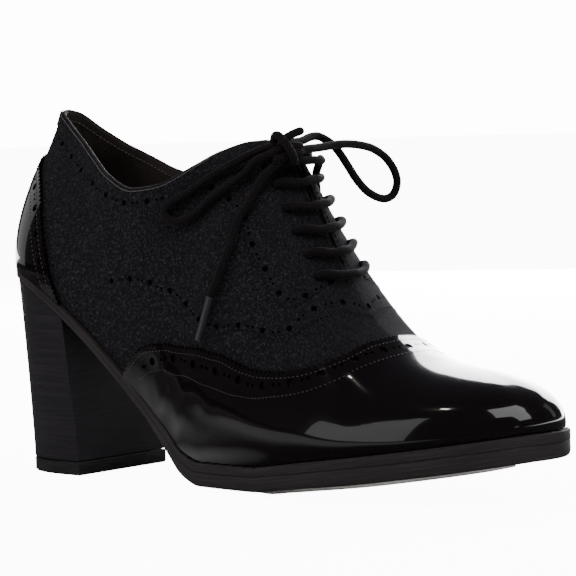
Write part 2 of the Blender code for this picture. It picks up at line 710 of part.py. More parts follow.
def tongue_row(share_round, half, rise):
    """One row across the tongue: pairs of an outer and an inner point, from side to side."""
    steps = 6
    notch = max(top("outer", share_round) * BALL_WIDTH, THROAT_GAP_TOP / 2.0)
    line = []
    for side in (-1, 1):
        turn = turn_of(share_round, side)
        for j in range(steps + 1) if side > 0 else range(steps, -1, -1):
            width = half * j / steps
            up = up_at_width(turn, width)
            place = shell_point(turn, up)
            out = shell_normal(turn, min(up, 0.985)) if j else ridge_normal(share_round)
            lift = Vector((0.0, 0.0, rise * max(1.0 - (width / notch) ** 2, 0.0)))
            gap = UPPER_WALL + TONGUE_GAP
            line.append((place - out * gap + lift, place - out * (gap + TONGUE_WALL) + lift))
    middle = tuple((a + b) / 2.0 for a, b in zip(line[steps], line[steps + 1]))
    return line[:steps] + [middle] + line[steps + 2:]


def layer_turns():
    return [s / (2.0 * STATIONS) for s in range(2 * STATIONS)]


def edge_point(turn, out, drop_share, below):
    """A point of a sole layer's edge: out past the ledge, drop_share of the sole's thickness down."""
    share_round = side_and_round(turn)[1]
    share = along_of(share_round)
    place = outline_point(turn) + outline_normal(turn) * (ledge("out", share) + out)
    place.z = bed_height(place.x) - drop_share * sole("thickness", share) - below
    return place


def layer(name, rings, finish):
    """A plate along the foot from rings of edge points, bridged by rungs from side to side."""
    count = len(rings[0])
    points = [p for ring in rings for p in ring]
    faces = []
    for k in range(len(rings) - 1):
        a, b = k * count, (k + 1) * count
        for i in range(count):
            j = (i + 1) % count
            faces.append([a + i, b + i, b + j, a + j])
    half = count // 2
    for k, flip in ((0, False), (len(rings) - 1, True)):
        start = k * count
        for i in range(half):
            left, left_next = start + i, start + i + 1
            right, right_next = start + (count - i) % count, start + count - i - 1
            face = [left, left_next, right_next, right]
            face = [v for n, v in enumerate(face) if v != face[n - 1]]
            if len(face) > 2:
                faces.append(face[::-1] if flip else face)
    return add_object(name, points, faces, finish)


def midsole():
    """The sole's upper layer, whose ledge carries the upper."""
    turns = layer_turns()
    share = MIDSOLE_SHARE
    rings = [
        [edge_point(t, -0.0006, 0.0, 0.0) for t in turns],
        [edge_point(t, 0.0, 0.0, 0.0005) for t in turns],
        [edge_point(t, 0.0, share, -0.0004) for t in turns],
        [edge_point(t, -0.0005, share, 0.0) for t in turns],
    ]
    return layer("midsole", rings, "sole_edge")


def outsole():
    """The sole's lower layer, flat under the ball and turned up at the toe."""
    turns = layer_turns()
    share = MIDSOLE_SHARE
    rings = [
        [edge_point(t, -LAYER_STEP - 0.0005, share, CLEARANCE) for t in turns],
        [edge_point(t, -LAYER_STEP, share, CLEARANCE + 0.0004) for t in turns],
        [edge_point(t, -LAYER_STEP - 0.0004, 1.0, -0.0008) for t in turns],
        [edge_point(t, -LAYER_STEP - 0.0014, 1.0, 0.0) for t in turns],
    ]
    return layer("outsole", rings, "sole_edge")


def sole_bottom(share):
    """Height of the outsole's lower face."""
    return foot_height(share) - sole("thickness", share)


def forefoot_grip():
    """A thin pale grip pad under the forefoot, flat where the shoe stands."""
    first, last, steps = 0.455, 0.925, 22
    outer, inner = [], []
    for i in range(1, steps):
        share = first + (last - first) * along_of(i / steps)
        run = (share - first) / (last - first)
        close = max(4.0 * run * (1.0 - run), 0.0) ** 0.28
        low_z = max(sole_bottom(share) - CLEARANCE - GRIP_THICKNESS, 0.0)
        high_z = sole_bottom(share) - CLEARANCE
        lateral = half_width(share, -1) + GRIP_INSET
        medial = half_width(share, 1) - GRIP_INSET
        middle = (lateral + medial) / 2.0
        x = forward(share * LAST_LENGTH)
        ys = [middle + (lateral - middle) * close, middle, middle + (medial - middle) * close]
        outer.append([Vector((x, y, low_z)) for y in ys])
        inner.append([Vector((x, y, high_z)) for y in ys])
    return sheet_solid("forefoot_grip", outer, inner, "grip")


def insole():
    """The sock that lies on the sole inside the upper."""
    inset = UPPER_WALL + 0.0012
    turns = layer_turns()
    rings = []
    for rise, extra in ((INSOLE_THICKNESS + CLEARANCE, 0.0003), (CLEARANCE, 0.0)):
        ring = []
        for t in turns:
            place = outline_point(t) - outline_normal(t) * (inset + extra)
            place.z = bed_height(place.x) + rise
            ring.append(place)
        rings.append(ring)
    return layer("insole", rings, "lining")


def heel_outline(share_up, points_per_side):
    """Plan of the heel at a share of its height, from the outer breast corner round the back."""
    bottom_front = HEEL_CENTRE + TOP_PIECE_LENGTH / 2.0
    bottom_back = HEEL_CENTRE - TOP_PIECE_LENGTH / 2.0
    lean = share_up
    front = bottom_front + (HEEL_TOP_BREAST - bottom_front) * lean
    result = []
    for i in range(2 * points_per_side + 1):
        side = -1 if i <= points_per_side else 1
        run = 1.0 - abs(i - points_per_side) / points_per_side
        angle = run * math.pi / 2.0
        fullness = 2.0 / 2.7
        low = Vector((
            bottom_front + (bottom_back - bottom_front) * math.sin(angle) ** fullness,
            side * TOP_PIECE_WIDTH / 2.0 * math.cos(angle) ** fullness,
        ))
        share_top = HEEL_TOP_BREAST / LAST_LENGTH
        wanted = share_top * (1.0 - math.sin(angle) ** 1.35)
        turn = round_of(max(wanted, 0.0)) / 2.0
        turn = turn if side < 0 else (1.0 - turn) % 1.0
        edge = outline_point(turn) + outline_normal(turn) * (SEAT_LEDGE - HEEL_SEAT_INSET)
        high = Vector((edge.x + HEEL_CENTRE, edge.y))
        ease = lean**1.25
        place = low + (high - low) * ease
        if i in (0, 2 * points_per_side):
            place.x = front
        result.append(place)
    return result


def heel():
    """The covered block heel, its top cut to the sole's curve."""
    points_per_side, levels = 14, 8
    rings = []
    for k in range(levels + 1):
        share_up = k / levels
        ring = []
        for place in heel_outline(share_up, points_per_side):
            share = min(max(place.x / LAST_LENGTH, 0.0), 1.0)
            roof = sole_bottom(share) - CLEARANCE
            base = TOP_PIECE_HEIGHT + CLEARANCE
            ring.append(Vector((forward(place.x), place.y, base + (roof - base) * share_up)))
        rings.append(ring)
    return block("heel", rings, "heel_cover")


def top_piece():
    """The wearing piece under the heel."""
    rings = []
    for z, inset in ((0.0, 0.0006), (0.0006, 0.0), (TOP_PIECE_HEIGHT, 0.0)):
        ring = []
        for place in heel_outline(0.0, 14):
            centre = Vector((HEEL_CENTRE, 0.0))
            away = place - centre
            place = centre + away * (1.0 - inset / away.length)
            ring.append(Vector((forward(place.x), place.y, z)))
        rings.append(ring)
    return block("top_piece", rings, "top_piece")


def block(name, rings, finish):
    """A stack of open outlines closed across the breast, with ladder caps that can follow a curve."""
    count = len(rings[0])
    points = [p for ring in rings for p in ring]
    faces = []
    for k in range(len(rings) - 1):
        a, b = k * count, (k + 1) * count
        for i in range(count):
            j = (i + 1) % count
            faces.append([a + i, a + j, b + j, b + i])
    half = count // 2
    for k, flip in ((0, True), (len(rings) - 1, False)):
        start = k * count
        for i in range(half):
            face = [start + i, start + i + 1, start + count - 2 - i, start + count - 1 - i]
            face = [v for n, v in enumerate(face) if v != face[n - 1]]
            if len(face) > 2:
                faces.append(face[::-1] if flip else face)
    return add_object(name, points, faces, finish)


def smooth_route(route, step):
    """Points at an even step along a smooth curve through the route's points."""
    ends = [route[0] * 2 - route[1]] + list(route) + [route[-1] * 2 - route[-2]]
    dense = []
    for a, b, c, d in zip(ends[:-3], ends[1:-2], ends[2:-1], ends[3:]):
        for k in range(12):
            t = k / 12
            dense.append(0.5 * (
                2 * b + (c - a) * t + (2 * a - 5 * b + 4 * c - d) * t**2 + (3 * b - a - 3 * c + d) * t**3
            ))
    dense.append(route[-1])
    lengths = [0.0]
    for a, b in zip(dense[:-1], dense[1:]):
        lengths.append(lengths[-1] + (b - a).length)
    count = max(round(lengths[-1] / step), 4)
    result = []
    k = 0
    for i in range(count + 1):
        wanted = lengths[-1] * i / count
        while k < len(lengths) - 2 and lengths[k + 1] < wanted:
            k += 1
        t = (wanted - lengths[k]) / (lengths[k + 1] - lengths[k])
        result.append(dense[k].lerp(dense[k + 1], min(t, 1.0)))
    return result


def tube(name, points, diameter, finish):
    """A round cord along the points, its ends closed."""
    line = bpy.data.curves.new(name, "CURVE")
    line.dimensions = "3D"
    line.bevel_depth = diameter / 2.0
    line.bevel_resolution = CORD_SIDES
    line.use_fill_caps = True
    spline = line.splines.new("POLY")
    spline.points.add(len(points) - 1)
    for knot, place in zip(spline.points, points):
        knot.co = (*place, 1.0)
    made = bpy.data.objects.new(name, line)
    made.data.materials.append(material(finish))
    bpy.context.scene.collection.objects.link(made)
    return made


def from_heel(route):
    """World places of a route measured in millimetres from the last's back end."""
    return [Vector((forward(s / 1000.0), y / 1000.0, z / 1000.0)) for s, y, z in route]


def on_upper(route, side):
    """World places of a route that lies on the upper."""
    return [offset_point(turn_of(place, side), up, lift / 1000.0) for place, up, lift in route]


def clear_of_knot(points):
    """The part of a cord that lies outside the knot, its cut ends close to the knot's face."""
    middle, along, across, out = knot_frame()
    reach = [size + KNOT_STANDOFF for size in KNOT_SIZE]

    def depth(place):
        away = place - middle
        return math.sqrt(sum((away.dot(d) / r) ** 2 for d, r in zip((along, across, out), reach)))

    kept = []
    for a, b in zip(points[:-1], points[1:]):
        inside, outside = sorted((depth(a), depth(b)))
        if depth(a) >= 1.0:
            kept.append(a)
        if inside < 1.0 < outside:
            share = (1.0 - depth(a)) / (depth(b) - depth(a))
            kept.append(a.lerp(b, share))
    return kept + [points[-1]] if depth(points[-1]) >= 1.0 else kept


def lace_bars():
    """The straight bars that cross the tongue, each from one eyelet to the one across from it."""
    lie = LACE_DIAMETER / 2.0 + LACE_LIFT
    for i, share_round in enumerate(facing_rows()):
        halves = []
        for side in (-1, 1):
            turn, up = eyelet_place(share_round, side)
            half = [offset_point(turn, up, EYELET_DIP)]
            for step, rise in BAR_STEPS:
                there = turn_of(share_round + BAR_LEAN * math.sin(step * math.pi / 2.0), side)
                edge = throat_up(there)
                half.append(offset_point(there, up + (edge - up) * step, lie * rise))
            halves.append(half)
        points = smooth_route(halves[0] + halves[1][::-1], 0.9 * LACE_DIAMETER)
        tube(f"lace_bar_{i + 1}", points, LACE_DIAMETER, "lace")


def knot_frame():
    """The knot's middle, and its directions along the instep, across it and out of it."""
    turn = turn_of(KNOT_PLACE[0], -1)
    out = shell_normal(turn, KNOT_PLACE[1])
    along = (shell_point(turn + 0.01, KNOT_PLACE[1]) - shell_point(turn - 0.01, KNOT_PLACE[1])).normalized()
    high = LACE_DIAMETER + LACE_LIFT + CLEARANCE + KNOT_SIZE[2]
    return offset_point(turn, KNOT_PLACE[1], high), along, out.cross(along), out


def lace_knot():
    """The knot of the bow, on top of the first bar."""
    middle, along, across, out = knot_frame()
    shape = bmesh.new()
    bmesh.ops.create_uvsphere(shape, u_segments=16, v_segments=10, radius=1.0)
    for point in shape.verts:
        a, b, c = (v * size for v, size in zip(point.co, KNOT_SIZE))
        point.co = middle + along * a + across * b + out * c
    mesh = bpy.data.meshes.new("lace_knot")
    bmesh.ops.recalc_face_normals(shape, faces=shape.faces)
    shape.to_mesh(mesh)
    shape.free()
    mesh.shade_smooth()
    made = bpy.data.objects.new("lace_knot", mesh)
    made.data.materials.append(material("lace"))
    bpy.context.scene.collection.objects.link(made)


def lace_bow():
    """The bow's two loops and two loose ends, with an aglet on each end."""
    loops = (("outer", on_upper(LOOP_OUTER_ROUTE, -1)), ("inner", from_heel(LOOP_INNER_ROUTE)))
    for word, route in loops:
        points = clear_of_knot(smooth_route(route, 1.2 * LACE_DIAMETER))
        tube(f"lace_loop_{word}", points, LACE_DIAMETER, "lace")
    ends = (("outer", -1, END_OUTER_ROUTE, AGLET_OUTER_TIP), ("inner", 1, END_INNER_ROUTE, AGLET_INNER_TIP))
    for word, side, route, tip in ends:
        start = from_heel(END_INNER_START) if side > 0 else []
        points = clear_of_knot(smooth_route(start + on_upper(route, side), 1.2 * LACE_DIAMETER))
        tube(f"lace_end_{word}", points, LACE_DIAMETER, "lace")
        way = (on_upper([tip], side)[0] - points[-1]).normalized()
        start = points[-1] + way * CLEARANCE
        tube(f"aglet_{word}", [start, start + way * AGLET_LENGTH], AGLET_DIAMETER, "aglet")


def main():
    for item in list(bpy.data.objects):
        bpy.data.objects.remove(item)
    upper()
    wing_cap()
    heel_counter()
    back_tab()
    tongue()
    midsole()
    outsole()
    forefoot_grip()
    insole()
    heel()
    top_piece()
    lace_bars()
    lace_knot()
    lace_bow()


main()
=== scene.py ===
"""Looks of a heeled oxford shoe: felt upper, patent toe cap and counter, lace, sole and heel."""

from __future__ import annotations

import logging
import math
from dataclasses import dataclass, field
from enum import Enum

import bmesh
import bpy
import numpy as np
from mathutils import Matrix, Vector


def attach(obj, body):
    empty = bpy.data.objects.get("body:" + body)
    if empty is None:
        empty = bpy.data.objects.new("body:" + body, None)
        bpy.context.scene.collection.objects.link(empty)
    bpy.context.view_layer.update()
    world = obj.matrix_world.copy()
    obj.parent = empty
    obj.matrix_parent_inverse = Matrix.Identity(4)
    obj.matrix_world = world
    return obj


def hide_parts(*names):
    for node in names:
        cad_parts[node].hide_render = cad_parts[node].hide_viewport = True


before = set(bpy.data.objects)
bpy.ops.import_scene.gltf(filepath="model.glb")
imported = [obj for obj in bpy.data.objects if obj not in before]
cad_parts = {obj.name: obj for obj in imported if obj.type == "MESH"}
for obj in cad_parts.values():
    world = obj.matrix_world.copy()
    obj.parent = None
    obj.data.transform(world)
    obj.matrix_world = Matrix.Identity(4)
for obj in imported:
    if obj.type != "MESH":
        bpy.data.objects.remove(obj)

LOG = logging.getLogger("oxford")
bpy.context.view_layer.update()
MM = 0.001
Array = np.ndarray
Piece = bpy.types.Object
Node = bpy.types.Node
Socket = bpy.types.NodeSocket
Tree = bpy.types.NodeTree
Route = tuple[tuple[float, float, float], ...]


class Side(Enum):
    """The two sides of this right shoe."""

    OUTER = -1
    INNER = 1


class Profile:
    """A smooth curve through given points that never overshoots between two of them."""

    def __init__(self, xs: list[float], ys: list[float]) -> None:
        """Keep the points and work out the slope at each.

        Args:
            xs: Places, rising.
            ys: Value at each place.
        """
        self.xs = np.array(xs, float)
        self.ys = np.array(ys, float)
        step = np.diff(self.xs)
        slope = np.diff(self.ys) / step
        tangent = np.zeros(len(self.xs))
        tangent[0], tangent[-1] = slope[0], slope[-1]
        for i in range(1, len(self.xs) - 1):
            if slope[i - 1] * slope[i] > 0:
                first = 2 * step[i] + step[i - 1]
                second = step[i] + 2 * step[i - 1]
                tangent[i] = (first + second) / (first / slope[i - 1] + second / slope[i])
        self.step = step
        self.tangent = tangent

    def __call__(self, x: Array) -> Array:
        """Read the curve.

        Args:
            x: Places, of any shape.

        Returns:
            The value at each place.
        """
        x = np.asarray(x, float)
        i = np.clip(np.searchsorted(self.xs, x, side="right") - 1, 0, len(self.step) - 1)
        h = self.step[i]
        t = np.clip((x - self.xs[i]) / h, 0.0, 1.0)
        return (
            (2 * t**3 - 3 * t**2 + 1) * self.ys[i]
            + (t**3 - 2 * t**2 + t) * h * self.tangent[i]
            + (3 * t**2 - 2 * t**3) * self.ys[i + 1]
            + (t**3 - t**2) * h * self.tangent[i + 1]
        )


def columns_of(names: tuple[str, ...], rows: tuple[tuple[float, ...], ...]) -> dict[str, Profile]:
    """Turn a table into one curve for each named column, read along its first column.

    Args:
        names: Name of each column.
        rows: The table.

    Returns:
        A curve by column name.
    """
    places = [row[0] for row in rows]
    return {name: Profile(places, [row[i] for row in rows]) for i, name in enumerate(names)}


# along, height, outer, inner, swell, swell_up of the feather edge, heel to toe
FOOT = columns_of(
    ("along", "height", "outer", "inner", "swell", "swell_up"),
    (
        (0.000, 1.000, 0.356, 0.356, 0.014, 0.42),
        (0.080, 0.935, 0.358, 0.358, 0.024, 0.42),
        (0.155, 0.808, 0.356, 0.345, 0.040, 0.42),
        (0.235, 0.622, 0.345, 0.300, 0.052, 0.42),
        (0.320, 0.415, 0.352, 0.268, 0.048, 0.42),
        (0.385, 0.263, 0.382, 0.276, 0.045, 0.40),
        (0.430, 0.165, 0.420, 0.312, 0.045, 0.40),
        (0.475, 0.130, 0.450, 0.362, 0.045, 0.40),
        (0.585, 0.130, 0.490, 0.446, 0.045, 0.40),
        (0.640, 0.149, 0.502, 0.484, 0.045, 0.42),
        (0.700, 0.173, 0.503, 0.503, 0.045, 0.46),
        (0.780, 0.203, 0.488, 0.497, 0.042, 0.52),
        (0.870, 0.238, 0.460, 0.470, 0.036, 0.56),
        (1.000, 0.292, 0.430, 0.440, 0.030, 0.58),
    ),
)
# round, along, height, outer, inner, inner_sink, crown, drop, middle of the top line
TOP = columns_of(
    ("round", "along", "height", "outer", "inner", "inner_sink", "crown", "drop", "middle"),
    (
        (0.000, 0.0690, 1.000, 0.000, 0.000, 0.000, 0.42, 0.34, 0.000),
        (0.070, 0.0800, 0.991, 0.066, 0.070, 0.002, 0.36, 0.34, 0.000),
        (0.150, 0.1200, 0.952, 0.132, 0.142, 0.018, 0.26, 0.34, 0.000),
        (0.220, 0.1660, 0.912, 0.204, 0.208, 0.030, 0.18, 0.34, 0.000),
        (0.280, 0.2130, 0.866, 0.277, 0.268, 0.030, 0.12, 0.34, 0.000),
        (0.330, 0.2620, 0.815, 0.333, 0.315, 0.012, 0.10, 0.34, 0.000),
        (0.375, 0.3150, 0.781, 0.351, 0.330, 0.000, 0.10, 0.32, 0.000),
        (0.410, 0.3640, 0.790, 0.326, 0.308, 0.000, 0.12, 0.28, 0.000),
        (0.440, 0.4100, 0.832, 0.247, 0.238, 0.000, 0.20, 0.20, 0.000),
        (0.465, 0.4520, 0.876, 0.165, 0.160, 0.000, 0.36, 0.10, -0.002),
        (0.485, 0.4920, 0.899, 0.090, 0.090, 0.000, 0.48, 0.03, -0.006),
        (0.505, 0.5370, 0.905, 0.000, 0.000, 0.000, 0.50, 0.03, -0.012),
        (0.535, 0.5660, 0.850, 0.000, 0.000, 0.000, 0.48, 0.04, -0.024),
        (0.570, 0.6000, 0.750, 0.000, 0.000, 0.000, 0.44, 0.05, -0.038),
        (0.605, 0.6360, 0.645, 0.000, 0.000, 0.000, 0.40, 0.05, -0.053),
        (0.640, 0.6760, 0.534, 0.000, 0.000, 0.000, 0.38, 0.05, -0.062),
        (0.680, 0.7200, 0.428, 0.000, 0.000, 0.000, 0.38, 0.05, -0.050),
        (0.730, 0.7660, 0.362, 0.000, 0.000, 0.000, 0.42, 0.03, -0.018),
        (0.800, 0.8220, 0.322, 0.000, 0.000, 0.000, 0.52, 0.01, 0.022),
        (0.890, 0.8720, 0.306, 0.000, 0.000, 0.000, 0.60, 0.00, 0.044),
        (1.000, 0.9150, 0.293, 0.000, 0.000, 0.000, 0.62, 0.00, 0.060),
    ),
)


@dataclass(frozen=True)
class Last:
    """The shape that the whole shoe is lasted on, read at a turn and a share of the wall's height.

    A turn is 0 at the heel's back, 0.5 at the toe tip and 1 at the back again. Round is the
    same as a share of the way from heel to toe on one side.
    """

    length: float = 0.241
    ball_width: float = 0.077
    heel_width: float = 0.055
    seat_height: float = 0.0815
    back_height: float = 0.1405
    heel_centre: float = 0.0225
    level_round: float = 0.440
    corner_round: float = 0.505
    throat_end: float = 0.630
    throat_gap_top: float = 0.0060
    throat_gap_end: float = 0.0016
    clearance: float = 0.0003

    def along(self, share_round: Array) -> Array:
        """Share of the length at a share of the way round."""
        return (1.0 - np.cos(np.pi * np.asarray(share_round, float))) / 2.0

    def round_at(self, share_along: Array) -> Array:
        """Share of the way round at a share of the length."""
        return np.arccos(1.0 - 2.0 * np.clip(share_along, 0.0, 1.0)) / np.pi

    def split(self, turn: Array) -> tuple[Array, Array]:
        """Side (-1 or 1) and share of the way round of a turn.

        Args:
            turn: Turn of each point.

        Returns:
            Side and share of the way round.
        """
        turn = np.mod(turn, 1.0)
        outer = turn <= 0.5
        return np.where(outer, -1.0, 1.0), np.where(outer, 2.0 * turn, 2.0 - 2.0 * turn)

    def turn(self, share_round: Array, side: Side) -> Array:
        """Turn of a share of the way round on one side."""
        half = np.asarray(share_round, float) / 2.0
        return half if side is Side.OUTER else 1.0 - half

    def foot_height(self, share: Array) -> Array:
        """Height of the feather edge at a share of the length."""
        return FOOT["height"](share) * self.seat_height

    def bed_height(self, x: Array) -> Array:
        """Height of the sole's upper face at a world X."""
        return self.foot_height(np.clip((x + self.heel_centre) / self.length, 0.0, 1.0))

    def half_width(self, share: Array, side: Array) -> Array:
        """Signed Y of the feather edge.

        Args:
            share: Share of the length.
            side: -1 on the outer side, 1 on the inner one.

        Returns:
            Y in metres.
        """
        heel_part = np.clip(1.0 - share / 0.2, 0.0, 1.0)
        scale = self.ball_width + (self.heel_width / 0.714 - self.ball_width) * heel_part
        width = np.where(side < 0, FOOT["outer"](share), FOOT["inner"](share)) * scale
        run = np.clip((share - 0.740) / 0.260, 0.0, 1.0)
        close = np.maximum(1.0 - run**2.25, 0.0) ** (1.0 / 2.25)
        middle = 0.062 * self.ball_width
        toe = middle + (side * width - middle) * close
        back = np.clip((0.120 - share) / 0.120, 0.0, 1.0)
        heel = side * width * np.maximum(1.0 - back**2.15, 0.0) ** (1.0 / 2.15)
        return np.where(share > 0.740, toe, heel)

    def outline(self, turn: Array) -> Array:
        """Points of the feather edge.

        Args:
            turn: Turn of each point.

        Returns:
            Points in metres.
        """
        side, share_round = self.split(turn)
        share = self.along(share_round)
        x = share * self.length - self.heel_centre
        return np.stack([x, self.half_width(share, side), self.foot_height(share)], -1)

    def outline_normal(self, turn: Array) -> Array:
        """Level outward direction of the feather edge.

        Args:
            turn: Turn of each point.

        Returns:
            The directions.
        """
        run = self.outline(turn + 0.003) - self.outline(turn - 0.003)
        out = np.stack([run[..., 1], -run[..., 0], np.zeros_like(run[..., 0])], -1)
        return unit(out)

    def centre_x(self, share_round: Array) -> Array:
        """X of the top line."""
        return TOP["along"](share_round) * self.length - self.heel_centre

    def centre_z(self, share_round: Array) -> Array:
        """Height of the top line."""
        return TOP["height"](share_round) * self.back_height

    def shell(self, turn: Array, up: Array) -> Array:
        """Points of the upper's outer face.

        Args:
            turn: Turn of each point.
            up: 0 at the feather edge, 1 at the top line.

        Returns:
            Points in metres, in the last axis.
        """
        turn, up = np.broadcast_arrays(np.asarray(turn, float), np.asarray(up, float))
        side, share_round = self.split(turn)
        share = self.along(share_round)
        low = self.outline(turn)
        half = np.where(side < 0, TOP["outer"](share_round), TOP["inner"](share_round))
        y = (TOP["middle"](share_round) + side * half) * self.ball_width
        sink = np.where(side > 0, TOP["inner_sink"](share_round) * self.back_height, 0.0)
        high = np.stack([self.centre_x(share_round), y, self.centre_z(share_round) - sink], -1)
        out = self.outline_normal(turn)
        height = high[..., 2] - low[..., 2]
        reach = np.maximum(
            np.linalg.norm(low[..., :2] - high[..., :2], axis=-1), 0.25 * self.ball_width
        )
        crown = TOP["crown"](share_round) * reach
        ahead, behind = np.minimum(share_round + 0.01, 1.0), np.maximum(share_round - 0.01, 0.0)
        rise = self.centre_z(ahead) - self.centre_z(behind)
        slope = rise / np.maximum(self.centre_x(ahead) - self.centre_x(behind), 1e-6)
        level = (share_round - self.level_round) / (self.corner_round - self.level_round)
        level = np.clip(level, 0.0, 1.0)
        pull_low = low + out * (FOOT["swell"](share) * self.ball_width)[..., None]
        pull_low[..., 2] += FOOT["swell_up"](share) * height
        pull_high = high + out * crown[..., None]
        pull_high[..., 2] += slope * out[..., 0] * crown * level - TOP["drop"](share_round) * height
        b = up[..., None]
        a = 1.0 - b
        return a**3 * low + 3 * a * a * b * pull_low + 3 * a * b * b * pull_high + b**3 * high

    def normal(self, turn: Array, up: Array) -> Array:
        """Outward direction of the upper's face.

        Args:
            turn: Turn of each point.
            up: Share of the wall's height.

        Returns:
            The directions.
        """
        turn, up = np.broadcast_arrays(np.asarray(turn, float), np.asarray(up, float))
        calm = np.minimum(up, 0.985)
        around = self.shell(turn + 0.004, calm) - self.shell(turn - 0.004, calm)
        rise = self.shell(turn, np.minimum(up + 0.004, 1.0)) - self.shell(
            turn, np.maximum(up - 0.004, 0.0)
        )
        out = np.cross(around, rise)
        return out / np.maximum(np.linalg.norm(out, axis=-1, keepdims=True), 1e-12)

    def ridge_normal(self, share_round: Array) -> Array:
        """Outward direction on the centre plane, where both sides of the vamp meet.

        Args:
            share_round: Share of the way round.

        Returns:
            The directions.
        """
        back, front = np.maximum(share_round - 0.012, 0.0), np.minimum(share_round + 0.012, 1.0)
        dx = self.centre_x(front) - self.centre_x(back)
        dz = self.centre_z(front) - self.centre_z(back)
        out = np.stack([-dz, np.zeros_like(dx), dx], -1)
        return unit(out)

    def out(self, turn: Array, up: Array) -> Array:
        """Outward direction anywhere, the ridge's own on the ridge.

        Args:
            turn: Turn of each point.
            up: Share of the wall's height.

        Returns:
            The directions.
        """
        turn, up = np.broadcast_arrays(np.asarray(turn, float), np.asarray(up, float))
        share_round = self.split(turn)[1]
        on_ridge = (up > 0.9999) & (share_round >= self.corner_round)
        return np.where(on_ridge[..., None], self.ridge_normal(share_round), self.normal(turn, up))

    def point(self, turn: Array, up: Array, lift: Array | float) -> Array:
        """Points at a height above the upper's face.

        Args:
            turn: Turn of each point.
            up: Share of the wall's height.
            lift: Height above the face, in metres.

        Returns:
            Points in metres.
        """
        lift = np.asarray(lift, float)
        return self.shell(turn, up) + self.out(turn, up) * lift[..., None]

    def up_at_width(self, turn: Array, width: Array) -> Array:
        """How far up a column comes within a distance of the centre line.

        Args:
            turn: Turn of each point.
            width: Distance from the centre line, in metres.

        Returns:
            Shares of the wall's height.
        """
        turn, width = np.broadcast_arrays(np.asarray(turn, float), np.asarray(width, float))
        side, share_round = self.split(turn)
        middle = TOP["middle"](share_round) * self.ball_width
        low = np.full(turn.shape, 0.3)
        high = np.where(share_round >= self.corner_round - 1e-9, 1.0, 1.4)
        for _ in range(30):
            mean = (low + high) / 2.0
            wide = side * (self.shell(turn, mean)[..., 1] - middle) > width
            low = np.where(wide, mean, low)
            high = np.where(wide, high, mean)
        return low

    def throat_up(self, turn: Array) -> Array:
        """Where a column of the upper stops, short of the slit between the facings.

        Args:
            turn: Turn of each point.

        Returns:
            Shares of the wall's height.
        """
        turn = np.asarray(turn, float)
        share_round = self.split(turn)[1]
        run = (share_round - self.corner_round) / (self.throat_end - self.corner_round)
        gap = self.throat_gap_top + (self.throat_gap_end - self.throat_gap_top) * np.clip(run, 0, 1)
        middle = TOP["middle"](share_round) * self.ball_width
        top = np.abs(self.shell(turn, np.ones_like(turn))[..., 1] - middle)
        slit = (share_round >= self.corner_round - 0.03) & (share_round <= self.throat_end)
        slit &= top <= gap / 2.0
        return np.where(slit, self.up_at_width(turn, gap / 2.0), 1.0)


LAST = Last()


@dataclass(frozen=True)
class Trail:
    """A line drawn on the upper through given places, as rounds and ups.

    Attributes:
        places: Round and up of each place, on the outer side.
    """

    places: tuple[tuple[float, float], ...]

    def dense(self, side: Side, count: int = 400) -> tuple[Array, Array]:
        """Many rounds and ups along the line.

        Args:
            side: Side that it is drawn on.
            count: Number of points.

        Returns:
            Turns and ups.
        """
        rounds = np.array([p[0] for p in self.places])
        ups = np.array([p[1] for p in self.places])
        spots = LAST.shell(LAST.turn(rounds, side), ups)
        walked = distances(spots)
        s = np.linspace(0.0, walked[-1], count)
        smooth_round = Profile(list(walked), list(rounds))
        smooth_up = Profile(list(walked), list(ups))
        return LAST.turn(smooth_round(s), side), np.clip(smooth_up(s), 0.0, 1.0)

    def over_back(self, count: int = 400) -> tuple[Array, Array]:
        """The line from the inner side over the heel's back to the outer one, as turns and ups.

        Args:
            count: Points on each side.

        Returns:
            Turns and ups.
        """
        turn_a, up_a = self.dense(Side.OUTER, count)
        turn_b, up_b = self.dense(Side.INNER, count)
        return np.concatenate([turn_b[::-1] - 1.0, turn_a[1:]]), np.concatenate([up_b[::-1], up_a[1:]])

    def across(self, count: int = 400) -> tuple[Array, Array]:
        """The line from the outer side over the ridge and down the inner one, as turns and ups.

        Args:
            count: Points on each side.

        Returns:
            Turns and ups.
        """
        turn_a, up_a = self.dense(Side.OUTER, count)
        turn_b, up_b = self.dense(Side.INNER, count)
        return np.concatenate([turn_a, turn_b[::-1][1:]]), np.concatenate([up_a, up_b[::-1][1:]])


def even(turn: Array, up: Array, pitch: float, margin: float = 0.0) -> tuple[Array, Array]:
    """Places at an even distance along a line on the upper.

    Args:
        turn: Turns along the line.
        up: Ups along the line.
        pitch: Distance wanted, in metres.
        margin: Length left free at both ends.

    Returns:
        Turns and ups of the places.
    """
    spots = LAST.shell(turn, up)
    walked = distances(spots)
    span = walked[-1] - 2.0 * margin
    count = max(int(round(span / pitch)), 1)
    s = margin + span * np.arange(count + 1) / count
    return np.interp(s, walked, turn), np.interp(s, walked, up)


